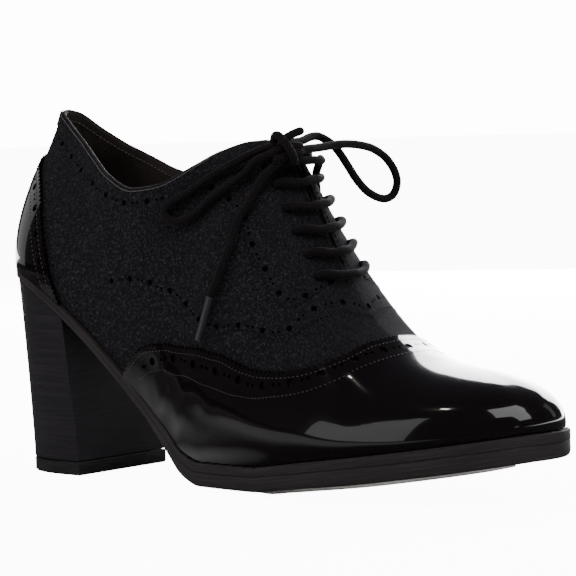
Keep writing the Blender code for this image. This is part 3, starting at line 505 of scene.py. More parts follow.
WING_EDGE = Trail((
    (0.362, 0.012), (0.376, 0.115), (0.392, 0.205), (0.415, 0.275), (0.438, 0.298), (0.474, 0.281),
    (0.505, 0.262), (0.535, 0.258), (0.565, 0.270), (0.592, 0.293), (0.617, 0.330), (0.642, 0.405),
    (0.662, 0.515), (0.685, 0.730), (0.698, 0.880), (0.706, 1.000),
))
WING_STITCH_LOW = Trail((
    (0.378, 0.030), (0.393, 0.090), (0.412, 0.169), (0.437, 0.213), (0.462, 0.215), (0.493, 0.191),
    (0.524, 0.180), (0.555, 0.191), (0.586, 0.213), (0.617, 0.247), (0.642, 0.303), (0.667, 0.404),
    (0.690, 0.548), (0.712, 0.707), (0.735, 0.888), (0.748, 1.000),
))
WING_HOLES = Trail((
    (0.398, 0.150), (0.420, 0.228), (0.449, 0.262), (0.480, 0.240), (0.518, 0.222), (0.549, 0.225),
    (0.592, 0.255), (0.629, 0.318), (0.654, 0.414), (0.673, 0.530), (0.698, 0.720), (0.729, 1.000),
))
COUNTER_EDGE = Trail((
    (0.000, 0.700), (0.070, 0.665), (0.120, 0.600), (0.160, 0.520), (0.190, 0.420), (0.213, 0.310),
    (0.230, 0.200), (0.246, 0.080), (0.258, 0.012),
))
COUNTER_STITCH_LOW = Trail((
    (0.000, 0.590), (0.060, 0.560), (0.105, 0.500), (0.143, 0.425), (0.172, 0.335), (0.195, 0.225),
    (0.212, 0.120), (0.226, 0.030),
))
COUNTER_HOLES = Trail((
    (0.000, 0.645), (0.066, 0.612), (0.114, 0.548), (0.152, 0.470), (0.182, 0.378), (0.205, 0.268),
    (0.222, 0.150), (0.234, 0.070),
))
QUARTER_EDGE = Trail((
    (0.505, 0.300), (0.524, 0.318), (0.542, 0.338), (0.567, 0.356), (0.592, 0.392), (0.609, 0.450),
    (0.622, 0.530), (0.638, 0.640), (0.652, 0.770), (0.664, 0.900), (0.672, 1.000),
))
QUARTER_HOLES = Trail((
    (0.505, 0.326), (0.524, 0.342), (0.542, 0.362), (0.567, 0.386), (0.588, 0.418), (0.602, 0.478),
    (0.613, 0.552), (0.629, 0.662), (0.643, 0.790), (0.655, 0.905), (0.663, 1.000),
))
QUARTER_ARC = Trail((
    (0.340, 0.400), (0.356, 0.461), (0.372, 0.505), (0.390, 0.530), (0.406, 0.530), (0.420, 0.508),
    (0.437, 0.478), (0.452, 0.430), (0.468, 0.375), (0.485, 0.338), (0.505, 0.326),
))
TOPLINE_HOLES = Trail((
    (0.070, 0.880), (0.120, 0.868), (0.170, 0.856), (0.225, 0.838), (0.275, 0.846), (0.325, 0.888),
    (0.356, 0.915), (0.387, 0.930), (0.420, 0.925),
))
FACING_HOLES = Trail((
    (0.432, 0.905), (0.450, 0.850), (0.470, 0.760), (0.492, 0.660), (0.512, 0.600), (0.530, 0.556),
    (0.555, 0.536), (0.580, 0.520), (0.598, 0.560), (0.612, 0.640), (0.624, 0.760), (0.630, 0.860),
))


class Sheet:
    """Short words for building a node tree."""

    def __init__(self, tree: Tree) -> None:
        """Keep the tree."""
        self.tree = tree

    def feed(self, target: Socket, value: object) -> None:
        """Link an output to an input, or set the input's value.

        Args:
            target: The input.
            value: An output or a value.
        """
        if isinstance(value, Socket):
            self.tree.links.new(value, target)
        else:
            target.default_value = value

    def node(self, kind: str, **settings: object) -> Node:
        """Add a node.

        Args:
            kind: Node type.
            **settings: Its properties; in_ and a number means an input by its number, and a name
                with a capital means an input by its name. Inputs take a value or an output.

        Returns:
            The node.
        """
        made = self.tree.nodes.new(kind)
        for name, value in settings.items():
            if name.startswith("in_"):
                self.feed(made.inputs[int(name[3:])], value)
            elif name[0].isupper():
                self.feed(made.inputs[name.replace("_", " ")], value)
            else:
                setattr(made, name, value)
        return made

    def math(self, kind: str, a: object, b: object = 0.0) -> Socket:
        """The output of a Math node on two values or outputs."""
        return self.node("ShaderNodeMath", operation=kind, in_0=a, in_1=b).outputs[0]

    def mix(self, share: object, a: object, b: object) -> Socket:
        """The output of a colour mix from one colour or output to another."""
        return self.node("ShaderNodeMix", data_type="RGBA", in_0=share, in_6=a, in_7=b).outputs[2]

    def noise(self, vector: Socket, scale: object, detail: float,
              rough: float) -> Socket:
        """The value of a noise with so many levels and so much weight on the fine ones."""
        return self.node("ShaderNodeTexNoise", Vector=vector, Scale=scale, Detail=detail,
                         Roughness=rough).outputs[0]

    def ramp(self, value: Socket, low: float, high: float, to_low: float = 0.0,
             to_high: float = 1.0) -> Socket:
        """Map a range of a value to another one, clamped.

        Args:
            value: Output to read.
            low: Start of its range.
            high: End of its range.
            to_low: Start of the new range.
            to_high: End of the new range.

        Returns:
            The mapped value.
        """
        return self.node("ShaderNodeMapRange", in_0=value, in_1=low, in_2=high, in_3=to_low,
                         in_4=to_high).outputs[0]


def open_tree(tree: Tree, inputs: dict[str, object],
              outputs: dict[str, str]) -> tuple[Sheet, Node, Node]:
    """Give a tree its named sockets and start it.

    Args:
        tree: The tree.
        inputs: Usual value of each input by name, or its socket type where it has none.
        outputs: Socket type of each output by name.

    Returns:
        The sheet, and the tree's input and output nodes.
    """
    kinds = {float: "Float", int: "Int", tuple: "Color"}
    for name, value in inputs.items():
        kind = kinds.get(type(value), value)
        item = tree.interface.new_socket(name=name, in_out="INPUT", socket_type=f"NodeSocket{kind}")
        if kind is not value:
            item.default_value = value
    for name, kind in outputs.items():
        tree.interface.new_socket(name=name, in_out="OUTPUT", socket_type=f"NodeSocket{kind}")
    sheet = Sheet(tree)
    return sheet, sheet.node("NodeGroupInput"), sheet.node("NodeGroupOutput")


class EffectGroup:
    """A shader effect that several finishes share, built once."""

    name = "effect"

    def tree(self) -> Tree:
        """The group's tree, made on first use.

        Returns:
            The tree.
        """
        found = bpy.data.node_groups.get(self.name)
        if found:
            return found
        made = bpy.data.node_groups.new(self.name, "ShaderNodeTree")
        self.build(made)
        return made

    def build(self, tree: Tree) -> None:
        """Fill the tree; each effect has its own way."""
        raise NotImplementedError

    def place(self, sheet: Sheet, vector: Socket, **values: object) -> Node:
        """Put the group in a material.

        Args:
            sheet: The material's tree.
            vector: Coordinates that it reads.
            **values: Its own inputs by name, with spaces as underscores.

        Returns:
            The group node.
        """
        return sheet.node("ShaderNodeGroup", node_tree=self.tree(), Vector=vector, **values)


class WoolFleck(EffectGroup):
    """Matted wool: dark fibres with grey, blue and brown ones among them."""

    name = "wool_fleck"

    def build(self, tree: Tree) -> None:
        """Noise at three scales, coloured and turned into a height.

        Args:
            tree: The tree to fill.
        """
        s, start, end = open_tree(
            tree,
            {"Vector": "Vector", "Scale": 900.0, "Ground": (0.02, 0.02, 0.022, 1.0),
             "Grey": (0.09, 0.09, 0.10, 1.0), "Blue": (0.02, 0.022, 0.05, 1.0),
             "Brown": (0.045, 0.025, 0.025, 1.0)},
            {"Colour": "Color", "Height": "Float"},
        )
        vector, scale = start.outputs["Vector"], start.outputs["Scale"]
        stretch = s.node("ShaderNodeMapping", in_0=vector, in_2=(0.4, 0.7, 0.3), in_3=(1.0, 2.6, 1.0))
        fine = s.noise(stretch.outputs[0], scale, 3.0, 0.7)
        cross = s.node("ShaderNodeMapping", in_0=vector, in_1=(0.3, 0, 0), in_2=(1.1, 0.2, 0.9),
                       in_3=(2.4, 1.0, 1.0))
        other = s.noise(cross.outputs[0], s.math("MULTIPLY", scale, 0.8), 3.0, 0.65)
        patch = s.noise(vector, s.math("MULTIPLY", scale, 0.42), 2.0, 0.6)
        brown = s.math("MULTIPLY", s.ramp(patch, 0.54, 0.66), 0.35)
        colour = s.mix(s.ramp(other, 0.52, 0.66), start.outputs["Ground"], start.outputs["Blue"])
        colour = s.mix(brown, colour, start.outputs["Brown"])
        colour = s.mix(s.ramp(fine, 0.50, 0.72), colour, start.outputs["Grey"])
        s.feed(end.inputs["Colour"], colour)
        s.feed(end.inputs["Height"], s.math("ADD", fine, s.math("MULTIPLY", other, 0.8)))


class FineGrain(EffectGroup):
    """The small pebbled grain of smooth leather, rubber or a worn coat."""

    name = "fine_grain"

    def build(self, tree: Tree) -> None:
        """Cells and noise as a height, and slow patches as a mask.

        Args:
            tree: The tree to fill.
        """
        s, start, end = open_tree(tree, {"Vector": "Vector", "Scale": 700.0},
                                  {"Height": "Float", "Patches": "Float"})
        vector, scale = start.outputs["Vector"], start.outputs["Scale"]
        cells = s.node("ShaderNodeTexVoronoi", feature="SMOOTH_F1", Vector=vector, Scale=scale)
        noise = s.noise(vector, s.math("MULTIPLY", scale, 0.35), 4.0, 0.6)
        slow = s.noise(vector, s.math("MULTIPLY", scale, 0.05), 3.0, 0.55)
        s.feed(end.inputs["Height"], s.math("ADD", cells.outputs[0], noise))
        s.feed(end.inputs["Patches"], s.ramp(slow, 0.35, 0.68))


class EdgeStreaks(EffectGroup):
    """Fine lines along a trimmed edge, as the layers of stacked leather leave them."""

    name = "edge_streaks"

    def build(self, tree: Tree) -> None:
        """Noise stretched along U of the piece's own map.

        Args:
            tree: The tree to fill.
        """
        s, start, end = open_tree(tree, {"Vector": "Vector", "Along": 60.0, "Across": 2500.0},
                                  {"Height": "Float", "Lines": "Float"})
        parts = s.node("ShaderNodeSeparateXYZ", in_0=start.outputs["Vector"])
        joined = s.node("ShaderNodeCombineXYZ",
                        in_0=s.math("MULTIPLY", parts.outputs[0], start.outputs["Along"]),
                        in_1=s.math("MULTIPLY", parts.outputs[1], start.outputs["Across"]))
        noise = s.noise(joined.outputs[0], 1.0, 3.0, 0.6)
        s.feed(end.inputs["Height"], noise)
        s.feed(end.inputs["Lines"], s.ramp(noise, 0.42, 0.70))


class RoundBraid(EffectGroup):
    """The crossing strands of a round braided lace, on its own map: metres along, turns round."""

    name = "round_braid"

    def build(self, tree: Tree) -> None:
        """Two sets of slanting ridges, one over the other by turns.

        Args:
            tree: The tree to fill.
        """
        s, start, end = open_tree(tree, {"Vector": "Vector", "Pitch": 450.0, "Strands": 8.0},
                                  {"Height": "Float"})
        parts = s.node("ShaderNodeSeparateXYZ", in_0=start.outputs["Vector"])
        along = s.math("MULTIPLY", parts.outputs[0], start.outputs["Pitch"])
        around = s.math("MULTIPLY", parts.outputs[1], start.outputs["Strands"])
        ridges = []
        for kind in ("ADD", "SUBTRACT"):
            slant = s.math("MULTIPLY", s.math(kind, along, around), math.pi)
            ridges.append(s.math("ABSOLUTE", s.math("SINE", slant)))
        s.feed(end.inputs["Height"], s.math("MAXIMUM", *ridges))


WOOL, GRAIN, STREAKS, BRAID = WoolFleck(), FineGrain(), EdgeStreaks(), RoundBraid()


@dataclass(frozen=True)
class Finish:
    """A material: what is the same all over it; the classes below add what changes.

    Attributes:
        name: Name of the material.
        colour: Base colour, linear.
        roughness: Roughness.
        slot: Slot of the record that it belongs to; not used.
        coat: Coat weight.
        coat_roughness: Roughness of the coat.
        sheen: Sheen weight.
        specular: Specular level.
    """

    name: str
    colour: tuple[float, float, float]
    roughness: float
    slot: str
    coat: float = 0.0
    coat_roughness: float = 0.03
    sheen: float = 0.0
    specular: float = 0.5

    def material(self) -> bpy.types.Material:
        """The material, made once.

        Returns:
            The material.
        """
        found = bpy.data.materials.get(self.name)
        if found:
            return found
        made = bpy.data.materials.new(self.name)
        made.use_nodes = True
        sheet = Sheet(made.node_tree)
        shader = made.node_tree.nodes["Principled BSDF"]
        values = {
            "Base Color": (*self.colour, 1.0), "Roughness": self.roughness,
            "Specular IOR Level": self.specular, "Coat Weight": self.coat,
            "Coat Roughness": self.coat_roughness, "Sheen Weight": self.sheen, "Sheen Roughness": 0.55,
        }
        for name, value in values.items():
            shader.inputs[name].default_value = value
        self.detail(sheet, shader)
        return made

    def detail(self, sheet: Sheet, shader: Node) -> None:
        """What changes over the surface; a plain finish has nothing more."""

    def coordinates(self, sheet: Sheet, kind: str = "Object") -> Socket:
        """Texture coordinates by name."""
        return sheet.node("ShaderNodeTexCoord").outputs[kind]

    def bump(self, sheet: Sheet, shader: Node, height: Socket,
             depth: float, strength: float = 1.0) -> None:
        """Feed a height into the shader's normal.

        Args:
            sheet: The material's tree.
            shader: The Principled shader.
            height: Height from 0 to about 1.
            depth: What 1 stands for, in metres.
            strength: How much of it shows.
        """
        bump = sheet.node("ShaderNodeBump", Strength=strength, Distance=depth, Height=height)
        sheet.feed(shader.inputs["Normal"], bump.outputs[0])

    def vary(self, sheet: Sheet, shader: Node, mask: Socket, light: float,
             lift: float, rougher: float) -> None:
        """Lighter, and rougher or smoother, where a mask says so.

        Args:
            sheet: The material's tree.
            shader: The Principled shader.
            mask: Where, from 0 to 1.
            light: How many times lighter.
            lift: What is added to the lighter colour.
            rougher: How much rougher.
        """
        lighter = tuple(min(c * light + lift, 1.0) for c in self.colour)
        colour = sheet.mix(mask, (*self.colour, 1.0), (*lighter, 1.0))
        sheet.feed(shader.inputs["Base Color"], colour)
        rough = sheet.ramp(mask, 0.0, 1.0, self.roughness, self.roughness + rougher)
        sheet.feed(shader.inputs["Roughness"], rough)


@dataclass(frozen=True)
class FeltFinish(Finish):
    """Matted wool felt."""

    scale: float = 1100.0
    grey: tuple[float, float, float] = (0.039, 0.037, 0.041)
    blue: tuple[float, float, float] = (0.0095, 0.0098, 0.0165)
    brown: tuple[float, float, float] = (0.018, 0.0125, 0.0125)

    def detail(self, sheet: Sheet, shader: Node) -> None:
        """Flecks in the colour and a deep, uneven surface.

        Args:
            sheet: The material's tree.
            shader: The Principled shader.
        """
        vector = self.coordinates(sheet)
        wool = WOOL.place(sheet, vector, Scale=self.scale, Ground=(*self.colour, 1),
                          Grey=(*self.grey, 1), Blue=(*self.blue, 1), Brown=(*self.brown, 1))
        sheet.feed(shader.inputs["Base Color"], wool.outputs["Colour"])
        self.bump(sheet, shader, wool.outputs["Height"], 0.00035, 0.9)


@dataclass(frozen=True)
class PatentFinish(Finish):
    """Patent leather: black under a thick clear coat, with the faintest unevenness."""

    def detail(self, sheet: Sheet, shader: Node) -> None:
        """Slow waves in the coat and a little dust in its roughness.

        Args:
            sheet: The material's tree.
            shader: The Principled shader.
        """
        vector = self.coordinates(sheet)
        grain = GRAIN.place(sheet, vector, Scale=260.0)
        rough = sheet.ramp(grain.outputs["Patches"], 0.0, 1.0, self.roughness, self.roughness + 0.035)
        sheet.feed(shader.inputs["Roughness"], rough)
        self.bump(sheet, shader, grain.outputs["Height"], 0.00002, 0.35)


@dataclass(frozen=True)
class LeatherFinish(Finish):
    """Smooth matt leather, as of the lining and the insole."""

    scale: float = 900.0

    def detail(self, sheet: Sheet, shader: Node) -> None:
        """Grain in the surface and worn, lighter patches.

        Args:
            sheet: The material's tree.
            shader: The Principled shader.
        """
        vector = self.coordinates(sheet)
        grain = GRAIN.place(sheet, vector, Scale=self.scale)
        self.vary(sheet, shader, grain.outputs["Patches"], 1.7, 0.004, -0.12)
        self.bump(sheet, shader, grain.outputs["Height"], 0.00008, 0.6)


@dataclass(frozen=True)
class TrimmedEdgeFinish(Finish):
    """A trimmed and inked edge with fine lines along it."""

    along: float = 45.0
    across: float = 2200.0
    light: float = 1.9

    def detail(self, sheet: Sheet, shader: Node) -> None:
        """Lines in the colour, the roughness and the surface.

        Args:
            sheet: The material's tree.
            shader: The Principled shader.
        """
        vector = self.coordinates(sheet, "UV")
        lines = STREAKS.place(sheet, vector, Along=self.along, Across=self.across)
        self.vary(sheet, shader, lines.outputs["Lines"], self.light, 0.002, 0.15)
        self.bump(sheet, shader, lines.outputs["Height"], 0.00012, 0.6)


@dataclass(frozen=True)
class BraidFinish(Finish):
    """A round braided lace."""

    # share of the lace colour left between the strands: painted shade in the braid's hollows
    between: float = 0.45

    def detail(self, sheet: Sheet, shader: Node) -> None:
        """Braid on the lace's own map, with painted shade that darkens the colour between the strands.

        Args:
            sheet: The material's tree.
            shader: The Principled shader.
        """
        vector = self.coordinates(sheet, "UV")
        braid = BRAID.place(sheet, vector, Pitch=520.0, Strands=7.0)
        # painted shade: the colour is darkened between the strands, where the braid's hollows fall in shade
        dark = tuple(c * self.between for c in self.colour)
        share = sheet.ramp(braid.outputs["Height"], 0.55, 1.0)
        colour = sheet.mix(share, (*dark, 1), (*self.colour, 1))
        sheet.feed(shader.inputs["Base Color"], colour)
        self.bump(sheet, shader, braid.outputs["Height"], 0.00022, 0.8)


@dataclass(frozen=True)
class ClearPlasticFinish(Finish):
    """A smoky clear tube over the lace's end."""

    through: float = 1.6

    def detail(self, sheet: Sheet, shader: Node) -> None:
        """The lace's braid shows through as faint marks.

        Args:
            sheet: The material's tree.
            shader: The Principled shader.
        """
        vector = self.coordinates(sheet, "UV")
        braid = BRAID.place(sheet, vector, Pitch=420.0, Strands=6.0)
        light = tuple(min(c * self.through, 1.0) for c in self.colour)
        colour = sheet.mix(braid.outputs["Height"], (*self.colour, 1), (*light, 1))
        sheet.feed(shader.inputs["Base Color"], colour)


FELT = FeltFinish("felt_charcoal", (0.0062, 0.0060, 0.0068), 0.95, "felt", specular=0.12)
FIBRE = Finish("felt_fibre", (0.030, 0.029, 0.033), 0.8, "felt", specular=0.15)
PATENT = PatentFinish("patent_black", (0.0035, 0.0022, 0.0028), 0.10, "patent", coat=1.0,
                      coat_roughness=0.012, specular=0.2)
LINING = LeatherFinish("lining_brown", (0.030, 0.024, 0.021), 0.55, "lining")
BINDING = LeatherFinish("collar_binding", (0.012, 0.010, 0.010), 0.8, "lining", specular=0.15, scale=1400.0)
# painted shade: a near-black sheet under the felt, so that the punched holes read dark
HOLE_SHADE_BACKING = Finish("felt_backing", (0.003, 0.003, 0.003), 0.95, "lining", specular=0.05)
SOCK = LeatherFinish("insole_sock", (0.034, 0.027, 0.023), 0.6, "lining")
SOLE_EDGE = TrimmedEdgeFinish("sole_edge_black", (0.0225, 0.0188, 0.0196), 0.62, "sole_edge", specular=0.12,
                              light=1.5)
HEEL_COVER = TrimmedEdgeFinish("heel_stack_black", (0.0120, 0.0103, 0.0122), 0.50, "heel_cover",
                               specular=0.14, along=25.0, across=1100.0, light=1.5)
TOP_PIECE = TrimmedEdgeFinish("top_piece_black", (0.013, 0.012, 0.013), 0.6, "top_piece", specular=0.15,
                              along=60.0, across=1500.0)
GRIP = LeatherFinish("grip_rubber", (0.60, 0.57, 0.54), 0.7, "grip", scale=500.0)
LACE = BraidFinish("lace_braid", (0.0078, 0.0057, 0.0070), 0.85, "lace", sheen=0.02, specular=0.15)
AGLET = ClearPlasticFinish("aglet_smoky", (0.0155, 0.0145, 0.0175), 0.3, "aglet", coat=0.4)
THREAD_DARK = Finish("thread_dark", (0.006, 0.005, 0.006), 0.7, "lace", specular=0.1)
THREAD_PALE = Finish("thread_pale", (0.060, 0.052, 0.054), 0.6, "lace", specular=0.2)
# pale thread colour: the lining's stitches, and along the collar's top a painted highlight of the turned-in
# edge
PALE_THREAD_EDGE_HIGHLIGHT = Finish("collar_edge_line", (0.10, 0.092, 0.095), 0.55, "lining")


def plain_mesh(name: str, points: Array, edges: list | tuple = (),
               faces: list | tuple = ()) -> bpy.types.Mesh:
    """A mesh of points, edges and faces.

    Args:
        name: Its name.
        points: The points.
        edges: Point numbers of each edge.
        faces: Point numbers of each face.

    Returns:
        The mesh.
    """
    mesh = bpy.data.meshes.new(name)
    mesh.from_pydata([tuple(map(float, p)) for p in points], list(edges), list(faces))
    return mesh


def show(name: str, data: bpy.types.ID) -> Piece:
    """An object in the scene.

    Args:
        name: Its name.
        data: Its mesh, lamp or camera.

    Returns:
        The object.
    """
    made = bpy.data.objects.new(name, data)
    bpy.context.scene.collection.objects.link(made)
    return made


def distances(route: Array) -> Array:
    """Distance from a route's start to each of its points, along it."""
    return np.concatenate([[0.0], np.cumsum(np.linalg.norm(np.diff(route, axis=0), axis=1))])


def unit(ways: Array) -> Array:
    """Directions of length 1."""
    return ways / np.linalg.norm(ways, axis=-1, keepdims=True)


def unrepeated(face: list) -> list[int]:
    """A face without the corners that repeat the one before."""
    return [int(v) for i, v in enumerate(face) if v != face[i - 1]]


def add_mesh(name: str, points: Array, faces: list[list[int]], finish: Finish,
             smooth_angle: float = 40.0, uv: Array | None = None) -> Piece:
    """Make an object from points and faces.

    Args:
        name: Name of the object.
        points: Its points in metres.
        faces: Its faces as point numbers.
        finish: Its finish.
        smooth_angle: Edges sharper than this, in degrees, stay sharp.
        uv: A map place for each point.

    Returns:
        The object.
    """
    mesh = plain_mesh(name, points, faces=faces)
    if uv is not None:
        layer = mesh.uv_layers.new(name="UVMap")
        corner = np.zeros(len(mesh.loops), dtype=np.int32)
        mesh.loops.foreach_get("vertex_index", corner)
        layer.data.foreach_set("uv", np.asarray(uv, np.float32)[corner].ravel())
    shape = bmesh.new()
    shape.from_mesh(mesh)
    bmesh.ops.recalc_face_normals(shape, faces=shape.faces)
    if shape.calc_volume(signed=True) < 0.0:
        bmesh.ops.reverse_faces(shape, faces=shape.faces)
    shape.to_mesh(mesh)
    shape.free()
    mesh.shade_smooth()
    mesh.set_sharp_from_angle(angle=math.radians(smooth_angle))
    mesh.materials.append(finish.material())
    return show(name, mesh)


def settle(piece: Piece, finish: Finish, *nodes: str) -> Piece:
    """Fix a finished piece to the shoe.

    Args:
        piece: The piece.
        finish: Its finish, named in the log.
        *nodes: CAD nodes that it stands for.

    Returns:
        The piece.
    """
    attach(piece, "root")
    if nodes:
        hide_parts(*nodes)
    LOG.info("%s: %d faces of %s", piece.name, len(piece.data.polygons), finish.name)
    return piece


def wall(name: str, outer: Array, inner: Array, finish: Finish, closed: bool = False,
         weld: dict[int, int] | None = None) -> Piece:
    """A closed wall between two grids of points, [column, row].

    Args:
        name: Name of the object.
        outer: Points of its outer face.
        inner: Points of its inner face.
        finish: Its finish.
        closed: Whether the last column joins the first.
        weld: Columns whose top point is another column's, as on the ridge of the vamp.

    Returns:
        The object.
    """
    weld = weld or {}
    seam = set(weld) | set(weld.values())
    if seam:
        seam.add((min(weld) + weld[min(weld)]) // 2)
    columns, rows = outer.shape[:2]
    number = np.arange(2 * columns * rows).reshape(2, columns, rows)
    for c, other in weld.items():
        number[:, c, -1] = number[:, other, -1]
    out, inn = number
    faces: list[list[int]] = []
    for c in range(columns if closed else columns - 1):
        d = (c + 1) % columns
        for grid, flip in ((out, False), (inn, True)):
            for r in range(rows - 1):
                face = unrepeated([grid[c, r], grid[d, r], grid[d, r + 1], grid[c, r + 1]])
                if len(face) > 2:
                    faces.append(face[::-1] if flip else face)
        faces.append([int(v) for v in (out[c, 0], inn[c, 0], inn[d, 0], out[d, 0])])
        if c not in seam or d not in seam:
            faces.append([int(v) for v in (out[c, -1], out[d, -1], inn[d, -1], inn[c, -1])])
    if not closed:
        for c, flip in ((0, False), (columns - 1, True)):
            for r in range(rows - 1):
                face = [int(v) for v in (out[c, r], out[c, r + 1], inn[c, r + 1], inn[c, r])]
                faces.append(face[::-1] if flip else face)
    points = np.concatenate([outer.reshape(-1, 3), inner.reshape(-1, 3)])
    used = np.unique(np.concatenate([np.array(f) for f in faces]))
    renumber = {int(v): i for i, v in enumerate(used)}
    faces = [[renumber[v] for v in face] for face in faces]
    return add_mesh(name, points[used], faces, finish)


def stand(grid: Array, rise: float = 0.0003) -> None:
    """Set the foot of a wall's columns on the sole, a clearance above it."""
    grid[:, 0, 2] = LAST.bed_height(grid[:, 0, 0]) + rise


def tube(name: str, route: Array, radius: float | Array, finish: Finish,
         sides: int = 16, round_ends: bool = True) -> Piece:
    """A round cord along a route, with its own map in metres along and turns round.

    Args:
        name: Name of the object.
        route: Points of its middle line.
        radius: Its radius, or one for each point.
        finish: Its finish.
        sides: Corners of its section.
        round_ends: Whether its ends are domed.

    Returns:
        The object.
    """
    route = np.asarray(route, float)
    radius = np.broadcast_to(np.asarray(radius, float), (len(route),)).copy()
    tangent = unit(np.gradient(route, axis=0))
    if round_ends:
        angles = np.radians((12.0, 40.0, 65.0))
        head = [route[0] - tangent[0] * radius[0] * math.cos(a) for a in angles]
        tail = [route[-1] + tangent[-1] * radius[-1] * math.cos(a) for a in angles[::-1]]
        head_r = [radius[0] * math.sin(a) for a in angles]
        tail_r = [radius[-1] * math.sin(a) for a in angles[::-1]]
        route = np.concatenate([head, route, tail])
        radius = np.concatenate([head_r, radius, tail_r])
        tangent = np.concatenate([[tangent[0]] * 3, tangent, [tangent[-1]] * 3])
    across = np.cross(tangent[0], (0.31, 0.47, 0.82))
    across /= np.linalg.norm(across)
    walked = distances(route)
    points, places = [], []
    for i, spot in enumerate(route):
        across = across - tangent[i] * np.dot(across, tangent[i])
        across /= np.linalg.norm(across)
        other = np.cross(tangent[i], across)
        for k in range(sides + 1):
            angle = 2.0 * math.pi * (k % sides) / sides
            points.append(spot + (across * math.cos(angle) + other * math.sin(angle)) * radius[i])
            places.append((walked[i], k / sides))
    mesh = bpy.data.meshes.new(name)
    count = len(route)
    shape = bmesh.new()
    layer = shape.loops.layers.uv.new("UVMap")
    rings = [[shape.verts.new(points[i * (sides + 1) + k]) for k in range(sides)] for i in range(count)]
    for i in range(count - 1):
        for k in range(sides):
            n = (k + 1) % sides
            face = shape.faces.new((rings[i][k], rings[i][n], rings[i + 1][n], rings[i + 1][k]))
            spots = ((i, k), (i, k + 1), (i + 1, k + 1), (i + 1, k))
            for loop, (a, b) in zip(face.loops, spots):
                loop[layer].uv = places[a * (sides + 1) + b]
    for ring, flip in ((rings[0], True), (rings[-1], False)):
        shape.faces.new(ring[::-1] if flip else ring)
    shape.to_mesh(mesh)
    shape.free()
    mesh.shade_smooth()
    mesh.set_sharp_from_angle(angle=math.radians(50))
    mesh.materials.append(finish.material())
    return show(name, mesh)


def smooth_route(route: list[Array] | Array, step: float) -> Array:
    """Points at an even step along a smooth curve through the route's points.

    Args:
        route: Given points.
        step: Distance between the results.

    Returns:
        The points.
    """
    route = np.asarray(route, float)
    ends = np.concatenate([[2 * route[0] - route[1]], route, [2 * route[-1] - route[-2]]])
    t = np.linspace(0.0, 1.0, 13)[:-1, None]
    dense = []
    for a, b, c, d in zip(ends[:-3], ends[1:-2], ends[2:-1], ends[3:]):
        dense.append(0.5 * (
            2 * b + (c - a) * t + (2 * a - 5 * b + 4 * c - d) * t**2 + (3 * b - a - 3 * c + d) * t**3
        ))
    dense = np.concatenate([*dense, route[-1:]])
    walked = distances(dense)
    count = max(int(round(walked[-1] / step)), 4)
    s = np.linspace(0.0, walked[-1], count + 1)
    return np.stack([np.interp(s, walked, dense[:, i]) for i in range(3)], -1)


class Repeater:
    """A Geometry Nodes tree that puts small shapes where they belong, then is made a plain mesh."""

    name = "repeater"

    def tree(self) -> Tree:
        """The tree, made on first use.

        Returns:
            The tree.
        """
        found = bpy.data.node_groups.get(self.name)
        if found:
            return found
        made = bpy.data.node_groups.new(self.name, "GeometryNodeTree")
        made.interface.new_socket(name="Geometry", in_out="INPUT", socket_type="NodeSocketGeometry")
        made.interface.new_socket(name="Geometry", in_out="OUTPUT", socket_type="NodeSocketGeometry")
        self.build(made)
        return made

    def build(self, tree: Tree) -> None:
        """Fill the tree; each repeater has its own way."""
        raise NotImplementedError

    def lay(self, s: Sheet, points: object, instance: object, rotation: object, scale: object) -> object:
        """Put a shape on points, made real.

        Args:
            s: The tree's sheet.
            points: Output with the points.
            instance: Output with the shape.
            rotation: Output with each one's turn.
            scale: Output with each one's size.

        Returns:
            The output with the shapes.
        """
        laid = s.node("GeometryNodeInstanceOnPoints", Points=points, Instance=instance,
                      Rotation=rotation, Scale=scale)
        return s.node("GeometryNodeRealizeInstances", in_0=laid.outputs[0]).outputs[0]

    def finish(self, s: Sheet, shapes: object, start: Node, end: Node) -> None:
        """Give the shapes their material and put them out."""
        paint = s.node("GeometryNodeSetMaterial", in_0=shapes, Material=start.outputs["Material"])
        s.feed(end.inputs[0], paint.outputs[0])

    def named(self, s: Sheet, name: str, kind: str) -> object:
        """The output with an attribute of the points."""
        return s.node("GeometryNodeInputNamedAttribute", data_type=kind, Name=name).outputs["Attribute"]

    def run(self, base: Piece, name: str, finish: Finish, **values: object) -> Piece:
        """Run the tree on an object and keep the result as a plain mesh.

        Args:
            base: Object that it starts from, removed afterwards.
            name: Name of the result.
            finish: Finish of the result.
            **values: Inputs by name, with spaces as underscores.

        Returns:
            The new object.
        """
        tree = self.tree()
        modifier = base.modifiers.new("repeat", "NODES")
        modifier.node_group = tree
        wanted = {name.replace("_", " "): value for name, value in values.items()}
        wanted["Material"] = finish.material()
        for item in tree.interface.items_tree:
            if item.in_out == "INPUT" and item.name in wanted:
                modifier[item.identifier] = wanted[item.name]
        base.update_tag()
        graph = bpy.context.evaluated_depsgraph_get()
        mesh = bpy.data.meshes.new_from_object(base.evaluated_get(graph))
        mesh.name = name
        base.modifiers.remove(modifier)
        made = show(name, mesh)
        bpy.data.objects.remove(base)
        return made


